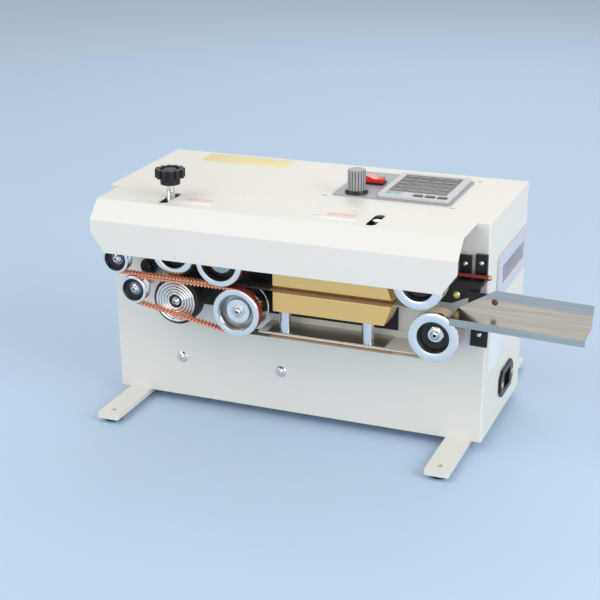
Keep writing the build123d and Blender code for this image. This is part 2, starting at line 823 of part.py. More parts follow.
def press_axle():
    """Axle fixed in the arm, with a shoulder behind the wheel and a cap in front."""
    x, z = upper_press_x, upper_press_z
    axle = rod_y(x, z, shaft_r, press_y + 3.0, arm_y1)
    axle += rod_y(x, z, 7.0, press_y + 17.0 + touch_gap, arm_y0)
    axle += rod_y(x, z, 6.0, press_y + 3.0, press_y + 5.0 - touch_gap)
    return axle


# ---------------------------------------------------------------- controls
def controller_body(gap):
    """The controller's rear case, or its cut-out when a gap is given."""
    side = 3.0 - gap
    return block(controller_x0 + side, controller_x1 - side, controller_y0 + side, controller_y1 - side,
                 panel_top - controller_depth, panel_top)


def switch_body(gap):
    """The switch's rear case, or its cut-out when a gap is given."""
    x, y = switch_place
    a = switch_size[0] / 2 - 1.4 + gap
    b = switch_size[1] / 2 - 1.0 + gap
    return block(x - a, x + a, y - b, y + b, top_z - 20.0, panel_top)


def control_panel():
    """Grey plate on the cabinet's top that carries the controls."""
    x0, y1 = panel_x1 - panel_size[0], panel_y0 + panel_size[1]
    plate = block(x0, panel_x1, panel_y0, y1, top_z, panel_top)
    plate = fillet(plate.edges().filter_by(Axis.Z), 3.0)
    plate -= controller_body(cover_gap)
    plate -= switch_body(cover_gap)
    plate -= rod_z(*dial_place, shaft_r + 1.0, top_z - 1, panel_top + 1)
    return plate


def key_centres():
    """Where the controller's keys stand, in a row at the front."""
    x0 = (controller_x0 + controller_x1) / 2 + 4.0
    return [(x0 + i * key_pitch, controller_y0 + 6.5) for i in range(key_count)]


def controller():
    """Bezel with a sunk keypad field, key wells, a display window well and a rear case."""
    bezel = block(controller_x0, controller_x1, controller_y0, controller_y1, panel_top, controller_top)
    bezel = fillet(bezel.edges().filter_by(Axis.Z), 4.0)
    bezel = chamfer(bezel.faces().sort_by(Axis.Z)[-1].edges(), 0.8)
    margin = 7.0
    bezel -= block(controller_x0 + margin, controller_x1 - margin, controller_y0 + 16.0,
                   controller_y1 - margin, controller_top - 0.6, controller_top + 1)
    well_floor = controller_top - key_seat - key_travel - key_floor_gap
    for x, y in key_centres():
        a, b = key_size[0] / 2 + touch_gap, key_size[1] / 2 + touch_gap
        bezel -= block(x - a, x + a, y - b, y + b, well_floor, controller_top + 1)
    return bezel + controller_body(0)


def key_cap(x, y):
    """One push key that stands proud of its well."""
    a, b = key_size[0] / 2, key_size[1] / 2
    cap = block(x - a, x + a, y - b, y + b, controller_top - key_seat, controller_top + key_rise)
    return fillet(cap.edges().filter_by(Axis.Z), 0.8)


def switch_housing():
    """Black frame and case of the rocker switch, with the well that the rocker tilts in."""
    x, y = switch_place
    a, b = switch_size[0] / 2, switch_size[1] / 2
    frame = block(x - a, x + a, y - b, y + b, panel_top, panel_top + 2.0)
    frame = fillet(frame.edges().filter_by(Axis.Z), 1.5)
    frame += switch_body(0)
    p, q = rocker_size[0] / 2 + 0.5, rocker_size[1] / 2 + touch_gap
    frame -= block(x - p, x + p, y - q, y + q, panel_top - 6.0, panel_top + 3)
    frame -= rod_y(x, panel_top, pivot_r + running, y - b + 0.5, y + b - 0.5)
    return frame


def rocker():
    """Red rocker with a shallow V top on two pivot stubs, tipped to its off side."""
    x, y = switch_place
    a, b = rocker_size[0] / 2, rocker_size[1] / 2
    outline = [(-a, 1.2), (-a, 7.4), (0, 5.4), (a, 7.4), (a, 1.2), (3, -2.6), (-3, -2.6)]
    body = plate_xz(outline, -b, b)
    body += rod_y(0, 0, pivot_r, -b - pivot_reach, b + pivot_reach)
    return Pos(x, y, panel_top) * Rot(0, rocker_tilt, 0) * body


def potentiometer():
    """Round control under the dial, with a threaded neck through the panel."""
    x, y = dial_place
    body = rod_z(x, y, 11.0, top_z - wall - 16.0, top_z - wall)
    body += rod_z(x, y, shaft_r + 0.5, top_z - wall, panel_top + 0.6)
    body -= rod_z(x, y, 3.0 + running, top_z - wall - 10.0, panel_top + 2)
    return body


def speed_knob():
    """Fluted dial with a skirt, on its own spindle."""
    x, y = dial_place
    z0 = panel_top + 1.0
    skirt_height, flutes = 3.0, 18
    dial = Pos(0, 0, z0 + skirt_height / 2) * Cone(dial_skirt_r, dial_r + 1, skirt_height)
    dial += Pos(0, 0, z0 + dial_height / 2) * Cylinder(dial_r, dial_height)
    dial = chamfer(dial.faces().sort_by(Axis.Z)[-1].edges(), 0.8)
    for i in range(flutes):
        turn = 2 * math.pi * i / flutes
        place = Pos(dial_r * math.cos(turn) * 1.04, dial_r * math.sin(turn) * 1.04,
                    z0 + skirt_height + dial_height / 2)
        dial -= place * Cylinder(0.75, dial_height)
    dial += Pos(0, 0, z0 - 5.0) * Cylinder(3.0, 10.0)
    return Pos(x, y, 0) * dial


# ---------------------------------------------------------------- infeed end
def tilted(shape):
    """Tips a piece of the infeed end about the tray's inner bend."""
    pivot = Pos(half_x - tray_start, 0, seal_z + 0.3)
    return pivot * Rot(0, tray_tilt, 0) * shape


def infeed_tray():
    """Bright channel: back wall with a raked end, floor, and a lip turned down in front."""
    y1 = face_y - tray_reach
    y0 = y1 - tray_floor_width
    t = tray_sheet
    floor = block(0, tray_length, y0, y1, -t, 0)
    lip = block(0, tray_length, y0, y0 + t, -tray_lip, -t)
    wall_outline = [(0, 0), (tray_length, 0), (tray_length, tray_wall_height),
                    (tray_wall_run, tray_wall_height)]
    back = plate_xz(wall_outline, y1 - t, y1)
    rivet_hole = rod_y(tray_wall_run, 10.0, 1.6, y1 - t - 1, y1 + 1)
    return tilted(floor + lip + back - rivet_hole)


def tray_bracket():
    """Black angle under the tray with an upright tab behind the tray's wall."""
    t = plate_thickness
    y1 = face_y - tray_reach
    foot = block(8.0, 24.0, plate_y, face_y, -44.0, -tray_sheet)
    arm = block(8.0, 24.0, y1 - 24.0, face_y, -tray_sheet - t, -tray_sheet)
    tab = block(8.0, tray_wall_run + 6.0, y1, y1 + 2.0, -tray_sheet - t, 16.0)
    tab -= rod_y(tray_wall_run, 10.0, 1.6, y1 - 1, y1 + 3)
    return tilted(foot + arm + tab)


def guide_bracket():
    """Black guide plate in front of the infeed end, on two tabs screwed to the wall."""
    y_plate = face_y - 15.0
    z = seal_z
    tab_a = block(half_x - 27, half_x - 16, face_y - 4, face_y, z + 24, z + 44)
    tab_b = block(half_x - 12, half_x - 0.8, face_y - 4, face_y, z + 24, z + 46)
    bar = block(half_x - 27, half_x - 0.8, y_plate, face_y, z + 20, z + 24)
    x = half_x
    guide = plate_xz([
        (x - 46, z + 1.5), (x - 29, z + 1.5), (x - 20, z + 6), (x - 4, z + 13), (x - 1, z + 24),
        (x - 27, z + 24), (x - 30, z + 20),
    ], y_plate - 3, y_plate)
    return tab_a + tab_b + bar + guide


def guide_rod():
    """Insulated tension rod along the guide bracket, with a bright round tip."""
    y = face_y - 10.0
    z = seal_z + 27.0
    sleeve = rod_x(y, z, 1.9, half_x - 30, half_x + 1)
    tip = Pos(half_x + 3.0, y, z) * Sphere(2.6) + rod_x(y, z, 1.2, half_x + 1, half_x + 2)
    return sleeve, tip


# ---------------------------------------------------------------- side handles and inlet
def side_handle(side):
    """Recessed grip: a frame outside the wall and a cup inside it."""
    a, b = handle_frame[0] / 2, handle_frame[1] / 2
    x0, x1 = sorted((side * half_x, side * (half_x + handle_wall)))
    frame = block(x0, x1, handle_y - a, handle_y + a, handle_z - b, handle_z + b)
    frame = fillet(frame.edges().filter_by(Axis.X), 5.0)
    handle = frame + handle_cup(side, 0)
    p, q = handle_pocket[0] / 2, handle_pocket[1] / 2
    x0, x1 = sorted((side * (half_x - handle_depth), side * (half_x + handle_wall + 1)))
    return handle - block(x0, x1, handle_y - p, handle_y + p, handle_z - q, handle_z + q)


def power_inlet():
    """Flanged socket with three blades in its well."""
    y, z = inlet_place
    outline = [(y + a, z + b) for a, b in pad_shape(*inlet_flange, 7.0)]
    shape = plate_yz(outline, half_x, half_x + 3.0)
    shape += inlet_body(0)
    p, q = inlet_socket[0] / 2, inlet_socket[1] / 2
    shape -= block(half_x - inlet_depth, half_x + 4, y - p, y + p, z - q, z + q)
    blades = []
    foot, tip = half_x - inlet_depth, half_x - 3
    for dy, dz in ((-7.0, -2.0), (0.0, 2.5), (7.0, -2.0)):
        blades.append(block(foot, tip, y + dy - 1, y + dy + 1, z + dz - 2, z + dz + 2))
    return [shape] + blades


# ---------------------------------------------------------------- drive train and electrics
def spur_gear(x, z, teeth, first_tooth, y0, width, bore):
    """A spur gear with straight-sided teeth; first_tooth is the angle of one tooth, in the XZ plane."""
    pitch_r = gear_module * teeth / 2
    tip_r = pitch_r + 0.85 * gear_module
    root_r = pitch_r - 1.25 * gear_module
    step = 2 * math.pi / teeth
    half_root, half_tip = 0.30 * step, 0.12 * step
    points = []
    for tooth in range(teeth):
        at = first_tooth + tooth * step
        for r, angle in ((root_r, at - half_root), (tip_r, at - half_tip),
                         (tip_r, at + half_tip), (root_r, at + half_root)):
            points.append((x + r * math.cos(angle), z + r * math.sin(angle)))
    wheel = plate_xz(points, y0, y0 + width)
    if bore > 0:
        wheel -= rod_y(x, z, bore, y0 - 1, y0 + width + 1)
    return wheel


def drive_gears():
    """The two equal gears that turn the drive wheels opposite ways, and the motor's pinion."""
    heading = math.atan2(upper_drive_z - lower_drive_z, upper_drive_x - lower_drive_x)
    step = 2 * math.pi / drive_teeth
    small_step = 2 * math.pi / pinion_teeth
    lower = spur_gear(lower_drive_x, lower_drive_z, drive_teeth, heading, gear_y0, gear_width, shaft_r)
    upper = spur_gear(upper_drive_x, upper_drive_z, drive_teeth, heading + math.pi + step / 2,
                      gear_y0, gear_width, shaft_r)
    nearest = round((motor_angle - heading) / step) * step + heading
    offset = nearest - motor_angle
    gap_at = motor_angle + math.pi - offset * drive_teeth / pinion_teeth
    pinion = spur_gear(motor_x, motor_z, pinion_teeth, gap_at + small_step / 2, gear_y0, gear_width, 0)
    pinion += rod_y(motor_x, motor_z, shaft_r, gear_y0, gear_y0 + gear_width + 20.0)
    return lower, upper, pinion


def gear_motor():
    """Gearbox with the motor behind it."""
    y0 = gear_y0 + gear_width + 6.0
    box = block(motor_x - 30, motor_x + 30, y0, y0 + 30, motor_z - 30, motor_z + 30)
    box = fillet(box.edges().filter_by(Axis.Y), 4.0)
    box += rod_y(motor_x, motor_z, 27.0, y0 + 30, y0 + 88)
    return box - rod_y(motor_x, motor_z, shaft_r + running, y0 - 1, y0 + 15)


def motor_bracket():
    """Upright angle from the base plate to the gearbox's front face."""
    y1 = gear_y0 + gear_width + 6.0
    z0 = base_z + wall
    upright = block(motor_x - 34, motor_x + 34, y1 - 2, y1, z0, motor_z + 30)
    foot = block(motor_x - 34, motor_x + 34, y1, y1 + 30, z0, z0 + 2)
    return upright + foot - rod_y(motor_x, motor_z, 12.0, y1 - 3, y1 + 1)


def circuit_board():
    """Speed-control board on four standoffs, with its tall components."""
    x0, x1, y0, y1 = half_x - 155, half_x - 55, back_y - 75, back_y - 15
    z = base_z + wall + 8.0
    board = block(x0, x1, y0, y1, z, z + 1.6)
    pieces = [rod_z(x, y, 3.0, base_z + wall, z) for x in (x0 + 5, x1 - 5) for y in (y0 + 5, y1 - 5)]
    transformer = block(x0 + 10, x0 + 45, y0 + 12, y0 + 40, z + 1.6, z + 28)
    capacitor = rod_z(x1 - 22, y0 + 20, 9.0, z + 1.6, z + 30)
    return [board, transformer, capacitor] + pieces


# ---------------------------------------------------------------- fasteners
def cabinet_screws():
    """Domed screws on the front, top and back, and the bolts that hold the feet."""
    screws = []
    front_head = Rot(90, 0, 0) * dome_screw(6.0, 3.0)
    for x in (-0.3123 * length, -0.0305 * length):
        screws.append(Pos(x, face_y, base_z + 42.3) * front_head)
    back_head = Rot(-90, 0, 0) * dome_screw(3.6, 2.0)
    for x in (-half_x + 12, 0, half_x - 12):
        for z in (base_z + 14, top_z - 14):
            screws.append(Pos(x, back_y, z) * back_head)
    small = dome_screw(2.4, 1.2)
    for x, y in ((panel_x1 - panel_size[0] - 6, panel_y0 - 3.5), (panel_x1 + 3.5, panel_y0 - 4),
                 (panel_x1 + 3.5, panel_y0 + panel_size[1] + 5)):
        screws.append(Pos(x, y, top_z) * small)
    for x, y in foot_bolt_places():
        bolt = rod_z(x, y, 2.7, pad_height, base_z + wall)
        bolt += Pos(x, y, base_z + wall) * Cylinder(5.0, 4.0, align=(Align.CENTER, Align.CENTER, Align.MIN))
        screws.append(bolt)
    return screws


def brass_screws():
    """Small brass screws at the inlet, the guide bracket, the tray and the lower block."""
    y, z = inlet_place
    side_head = Rot(0, 90, 0) * dome_screw(3.0, 1.4)
    screws = [Pos(half_x + 3.0, y + s * inlet_screw_pitch / 2, z) * side_head for s in (-1, 1)]
    front_head = Rot(90, 0, 0) * dome_screw(3.6, 1.8)
    screws.append(Pos(half_x - 25, face_y - 18.0, seal_z + 10.0) * front_head)
    tray_y = face_y - tray_reach - tray_sheet
    rivet = Pos(tray_wall_run, tray_y, 10.0) * Rot(90, 0, 0) * dome_screw(3.0, 1.4)
    screws.append(tilted(rivet))
    tab_head = Rot(90, 0, 0) * dome_screw(2.4, 1.4)
    for dx, dz in ((-21.5, 36.0), (-6.5, 38.0)):
        screws.append(Pos(half_x + dx, face_y - 4.0, seal_z + dz) * tab_head)
    screws.append(tilted(Pos(16.0, plate_y, -32.0) * tab_head))
    return screws


# ---------------------------------------------------------------- write every node
save("cabinet_shell", cabinet_shell())
save("rear_cover", rear_cover())
save("base_plate", base_plate())
save("foot_straps", *foot_straps())
save("foot_pads", *foot_pads())
save("hood", hood())
save("cabinet_screws", *cabinet_screws())
save("brass_screws", *brass_screws())
save("mounting_plate", mounting_plate())
save("shelf", shelf())
save("heat_shield", heat_shield())
save("block_posts", *block_posts())
save("lower_block", heater_block(lower_block_foot, lower_block_top, False))
save("upper_block", heater_block(upper_block_foot, upper_block_top, True))
save("heater_cartridges", *heater_cartridges())
save("spring_bolts", *spring_bolts())
save("block_springs", *block_springs())
save("bearings", *bearings())
save("wheel_axles", *wheel_axles())

wheels = wheel_places()
save("upper_drive_wheel", drive_wheel(*wheels["upper_drive"]))
save("lower_drive_wheel", drive_wheel(*wheels["lower_drive"]))
save("upper_drive_shaft", *drive_shaft(*wheels["upper_drive"]))
save("lower_drive_shaft", *drive_shaft(*wheels["lower_drive"]))
save("upper_front_wheel", front_wheel(*wheels["upper_front"]))
save("lower_front_wheel", front_wheel(*wheels["lower_front"]))
save("upper_tail_wheel", tail_wheel(*wheels["upper_tail"]))
save("lower_tail_wheel", tail_wheel(*wheels["lower_tail"]))
save("upper_press_wheel", upper_press_wheel())
save("lower_press_wheel", lower_press_wheel())
for level in ("upper", "lower"):
    tail, drive, front = (wheels[f"{level}_{name}"] for name in ("tail", "drive", "front"))
    save(f"{level}_guide_belt", belt_loop(
        tail, drive, tail_belt_r, drive_belt_r, guide_belt_thickness, guide_belt_y, guide_belt_width))
    save(f"{level}_seal_belt", belt_loop(
        drive, front, drive_belt_r, drive_belt_r, seal_belt_thickness, seal_belt_y, seal_belt_width))

save("pressure_brackets", *pressure_brackets())
save("pressure_screw", pressure_screw())
save("star_knob", star_knob())
save("pressure_pusher", pressure_pusher())
save("press_arm", press_arm())
save("press_axle", press_axle())

save("control_panel", control_panel())
save("controller", controller())
for number, (key_x, key_y) in enumerate(key_centres(), start=1):
    save(f"key_{number}", key_cap(key_x, key_y))
save("switch_housing", switch_housing())
save("rocker", rocker())
save("potentiometer", potentiometer())
save("speed_knob", speed_knob())

save("infeed_tray", infeed_tray())
save("tray_bracket", tray_bracket())
save("guide_bracket", guide_bracket())
save("guide_rod", *guide_rod())
save("side_handles", side_handle(1), side_handle(-1))
save("power_inlet", *power_inlet())

lower_gear, upper_gear, pinion_gear = drive_gears()
save("lower_drive_gear", lower_gear)
save("upper_drive_gear", upper_gear)
save("motor_gear", pinion_gear)
save("gear_motor", gear_motor())
save("motor_bracket", motor_bracket())
save("circuit_board", *circuit_board())
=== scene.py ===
"""Looks of a tabletop continuous band sealer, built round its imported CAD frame."""

import json
import logging
import math
from collections.abc import Callable, Sequence
from dataclasses import dataclass
from enum import Enum, IntEnum

import bmesh
import bpy
from mathutils import Matrix, Vector


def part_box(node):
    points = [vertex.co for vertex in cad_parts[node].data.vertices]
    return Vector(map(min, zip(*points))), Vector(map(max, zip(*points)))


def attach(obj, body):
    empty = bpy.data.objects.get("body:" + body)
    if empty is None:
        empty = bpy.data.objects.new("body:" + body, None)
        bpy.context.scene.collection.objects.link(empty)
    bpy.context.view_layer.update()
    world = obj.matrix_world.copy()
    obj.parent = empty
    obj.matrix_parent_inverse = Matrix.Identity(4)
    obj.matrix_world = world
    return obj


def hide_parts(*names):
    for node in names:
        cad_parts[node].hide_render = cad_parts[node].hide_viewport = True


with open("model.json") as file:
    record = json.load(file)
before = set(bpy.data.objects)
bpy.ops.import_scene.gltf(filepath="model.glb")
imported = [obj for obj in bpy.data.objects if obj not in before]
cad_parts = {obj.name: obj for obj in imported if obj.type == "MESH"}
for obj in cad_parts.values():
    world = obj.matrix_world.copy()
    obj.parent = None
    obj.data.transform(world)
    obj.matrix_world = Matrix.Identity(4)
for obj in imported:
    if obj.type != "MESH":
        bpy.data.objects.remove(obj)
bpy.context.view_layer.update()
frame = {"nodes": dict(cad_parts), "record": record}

log = logging.getLogger("band_sealer")
MM = 0.001
Point = tuple[float, float]
OutlinePoint = tuple[float, float, int]
Colour = tuple[float, float, float]
Piece = bpy.types.Object
Tree = bpy.types.NodeTree
Node = bpy.types.Node
Socket = bpy.types.NodeSocket


# ---------------------------------------------------------------- what the frame says
def centre_of(node: str) -> Vector:
    """Middle of a CAD node's box, in metres."""
    low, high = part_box(node)
    return (low + high) / 2


def body_of_node() -> dict[str, str]:
    """The CAD body that each node belongs to."""
    bodies = frame["record"]["behaviour"]["bodies"]
    return {node: body for body, nodes in bodies.items() for node in nodes}


def slot_of_node() -> dict[str, str]:
    """The material slot that the record gives each node."""
    return {part["node"]: part["material_slot"] for part in frame["record"]["subparts"]}


BODY = body_of_node()
SLOT = slot_of_node()


# ---------------------------------------------------------------- shader groups
class Grain(Enum):
    """The kinds of fine surface texture."""

    PEEL = "peel"
    BRUSHED = "brushed"
    TURNED = "turned"
    MOULDED = "moulded"
    WOVEN = "woven"


class GroupLibrary:
    """Shader node groups that several finishes share, each built once."""

    def __init__(self) -> None:
        """Starts with no group built."""
        self.built: dict[str, Tree] = {}

    def _new(self, name: str, inputs: dict[str, float], outputs: Sequence[str]) -> tuple[Tree, Node, Node]:
        """Makes an empty group.

        Args:
            name: The group's name.
            inputs: Float inputs and their defaults; "Vector" is a vector input.
            outputs: Names of the float outputs.

        Returns:
            The tree, its input node and its output node.
        """
        tree = bpy.data.node_groups.new(name, "ShaderNodeTree")
        for label, value in inputs.items():
            kind = "NodeSocketVector" if label == "Vector" else "NodeSocketFloat"
            socket = tree.interface.new_socket(label, in_out="INPUT", socket_type=kind)
            if kind == "NodeSocketFloat":
                socket.default_value = value
        for label in outputs:
            tree.interface.new_socket(label, in_out="OUTPUT", socket_type="NodeSocketFloat")
        start = tree.nodes.new("NodeGroupInput")
        end = tree.nodes.new("NodeGroupOutput")
        self.built[name] = tree
        return tree, start, end

    def _math(self, tree: Tree, kind: str, a: Socket | float, b: Socket | float | None = None) -> Socket:
        """Adds a math node.

        Args:
            tree: The tree that it goes in.
            kind: Its operation.
            a: First value, a socket or a plain number.
            b: Second value, for an operation that takes one.

        Returns:
            The node's output.
        """
        node = tree.nodes.new("ShaderNodeMath")
        node.operation = kind
        for socket, value in zip(node.inputs, (a, b)):
            if isinstance(value, bpy.types.NodeSocket):
                tree.links.new(value, socket)
            elif value is not None:
                socket.default_value = value
        return node.outputs[0]

    def _noise(self, tree: Tree, vector: Socket, detail: float, rough: float) -> Socket:
        """Adds a noise texture of unit scale.

        Args:
            tree: The tree that it goes in.
            vector: The place that it is read at.
            detail: How many finer layers it has.
            rough: How strong the finer layers are.

        Returns:
            Its value, 0 to 1.
        """
        node = tree.nodes.new("ShaderNodeTexNoise")
        node.inputs["Scale"].default_value = 1.0
        node.inputs["Detail"].default_value = detail
        node.inputs["Roughness"].default_value = rough
        tree.links.new(vector, node.inputs["Vector"])
        return node.outputs["Fac"]

    def _scaled(self, tree: Tree, start: Node, stretch: Sequence[float]) -> Socket:
        """Stretches the group's vector along each axis and divides it by the group's size.

        Args:
            tree: The tree to work in.
            start: The group's input node.
            stretch: Cycles in one size, along each axis.

        Returns:
            The scaled vector.
        """
        stretched = tree.nodes.new("ShaderNodeVectorMath")
        stretched.operation = "MULTIPLY"
        tree.links.new(start.outputs["Vector"], stretched.inputs[0])
        stretched.inputs[1].default_value = [s / MM for s in stretch]
        sized = tree.nodes.new("ShaderNodeVectorMath")
        sized.operation = "SCALE"
        tree.links.new(stretched.outputs[0], sized.inputs[0])
        tree.links.new(self._math(tree, "DIVIDE", 1.0, start.outputs["Size"]), sized.inputs["Scale"])
        return sized.outputs[0]

    def grain(self, kind: Grain) -> Tree:
        """The texture group of one kind of grain.

        Args:
            kind: Which grain.

        Returns:
            A group with inputs Vector and Size (mm) and outputs Height and Tone, both 0 to 1.
        """
        name = f"{kind.value}_grain"
        if name in self.built:
            return self.built[name]
        tree, start, end = self._new(name, {"Vector": 0.0, "Size": 1.0}, ("Height", "Tone"))
        if kind is Grain.BRUSHED:
            height = self._noise(tree, self._scaled(tree, start, (0.02, 1.0, 1.0)), 4.0, 0.65)
            tone = self._noise(tree, self._scaled(tree, start, (0.006, 0.3, 0.3)), 2.0, 0.5)
        elif kind is Grain.TURNED:
            height, tone = self._turned(tree, start)
        elif kind is Grain.WOVEN:
            height, tone = self._woven(tree, start)
        else:
            detail = 2.0 if kind is Grain.PEEL else 5.0
            height = self._noise(tree, self._scaled(tree, start, (1.0, 1.0, 1.0)), detail, 0.5)
            tone = self._noise(tree, self._scaled(tree, start, (0.04, 0.04, 0.04)), 3.0, 0.55)
        tree.links.new(height, end.inputs["Height"])
        tree.links.new(tone, end.inputs["Tone"])
        return tree

    def _turned(self, tree: Tree, start: Node) -> tuple[Socket, Socket]:
        """Adds concentric lathe marks about the piece's own Y axis, with soft radial glints.

        Args:
            tree: The tree to work in.
            start: The group's input node.

        Returns:
            The marks' height and tone.
        """
        split = tree.nodes.new("ShaderNodeSeparateXYZ")
        tree.links.new(start.outputs["Vector"], split.inputs[0])
        x, z = split.outputs["X"], split.outputs["Z"]
        x_squared = self._math(tree, "MULTIPLY", x, x)
        z_squared = self._math(tree, "MULTIPLY", z, z)
        squares = self._math(tree, "ADD", x_squared, z_squared)
        radius = self._math(tree, "DIVIDE", self._math(tree, "SQRT", squares), start.outputs["Size"])
        angle = self._math(tree, "ARCTAN2", z, x)
        rings = tree.nodes.new("ShaderNodeCombineXYZ")
        tree.links.new(self._math(tree, "MULTIPLY", radius, 1 / MM), rings.inputs["X"])
        glints = tree.nodes.new("ShaderNodeCombineXYZ")
        sweep = self._math(tree, "SINE", self._math(tree, "MULTIPLY", angle, 3.0))
        tree.links.new(sweep, glints.inputs["X"])
        tree.links.new(self._math(tree, "MULTIPLY", radius, 20.0), glints.inputs["Y"])
        height = self._noise(tree, rings.outputs[0], 3.0, 0.7)
        return height, self._noise(tree, glints.outputs[0], 2.0, 0.5)

    def _woven(self, tree: Tree, start: Node) -> tuple[Socket, Socket]:
        """Adds a plain weave: two crossed waves whose product rises where a thread is on top.

        Args:
            tree: The tree to work in.
            start: The group's input node.

        Returns:
            The weave's height and tone.
        """
        split = tree.nodes.new("ShaderNodeSeparateXYZ")
        tree.links.new(self._scaled(tree, start, (1.0, 1.0, 1.0)), split.inputs[0])
        along = self._math(tree, "SINE", self._math(tree, "MULTIPLY", split.outputs["X"], math.tau))
        across = self._math(tree, "SINE", self._math(tree, "MULTIPLY", split.outputs["Y"], math.tau))
        weave = self._math(tree, "MULTIPLY_ADD", self._math(tree, "MULTIPLY", along, across), 0.5)
        weave.node.inputs[2].default_value = 0.5
        return weave, self._noise(tree, self._scaled(tree, start, (0.03, 0.2, 0.2)), 3.0, 0.6)

    def edge_wear(self) -> Tree:
        """A broken mask along sharp edges, where a coating rubs thin.

        Returns:
            A group with inputs Vector, Size and Width (mm) and Amount, and output Mask.
        """
        name = "edge_wear"
        if name in self.built:
            return self.built[name]
        inputs = {"Vector": 0.0, "Size": 1.0, "Width": 0.6, "Amount": 0.5}
        tree, start, end = self._new(name, inputs, ("Mask",))
        bevel = tree.nodes.new("ShaderNodeBevel")
        bevel.samples = 4
        tree.links.new(self._math(tree, "MULTIPLY", start.outputs["Width"], MM), bevel.inputs["Radius"])
        geometry = tree.nodes.new("ShaderNodeNewGeometry")
        dot = tree.nodes.new("ShaderNodeVectorMath")
        dot.operation = "DOT_PRODUCT"
        tree.links.new(bevel.outputs[0], dot.inputs[0])
        tree.links.new(geometry.outputs["Normal"], dot.inputs[1])
        bent = self._math(tree, "SUBTRACT", 1.0, dot.outputs["Value"])
        edge = self._math(tree, "MINIMUM", self._math(tree, "MULTIPLY", bent, 9.0), 1.0)
        broken = self._noise(tree, self._scaled(tree, start, (0.3, 0.3, 0.3)), 4.0, 0.6)
        patchy = self._math(tree, "MULTIPLY", edge, self._math(tree, "POWER", broken, 2.0))
        strength = self._math(tree, "MULTIPLY", start.outputs["Amount"], 3.0)
        worn = self._math(tree, "MULTIPLY", patchy, strength)
        tree.links.new(self._math(tree, "MINIMUM", worn, 1.0), end.inputs["Mask"])
        return tree

    def dust(self) -> Tree:
        """A thin patchy film on faces that look up.

        Returns:
            A group with inputs Vector, Size (mm) and Amount, and output Mask.
        """
        name = "dust_film"
        if name in self.built:
            return self.built[name]
        tree, start, end = self._new(name, {"Vector": 0.0, "Size": 30.0, "Amount": 0.2}, ("Mask",))
        geometry = tree.nodes.new("ShaderNodeNewGeometry")
        split = tree.nodes.new("ShaderNodeSeparateXYZ")
        tree.links.new(geometry.outputs["Normal"], split.inputs[0])
        up = self._math(tree, "MAXIMUM", split.outputs["Z"], 0.0)
        patches = self._noise(tree, self._scaled(tree, start, (1.0, 1.0, 1.0)), 6.0, 0.65)
        settled = self._math(tree, "MULTIPLY", up, patches)
        film = self._math(tree, "MULTIPLY", settled, start.outputs["Amount"])
        tree.links.new(film, end.inputs["Mask"])
        return tree


GROUPS = GroupLibrary()
DUST_COLOUR: Colour = (0.62, 0.60, 0.56)
SMOOTHEST = 0.03

# The colour sockets of a Mix node, which keeps a set of sockets for each kind of data.
MIX_FACTOR, MIX_UNDER, MIX_OVER, MIX_RESULT = 0, 6, 7, 2


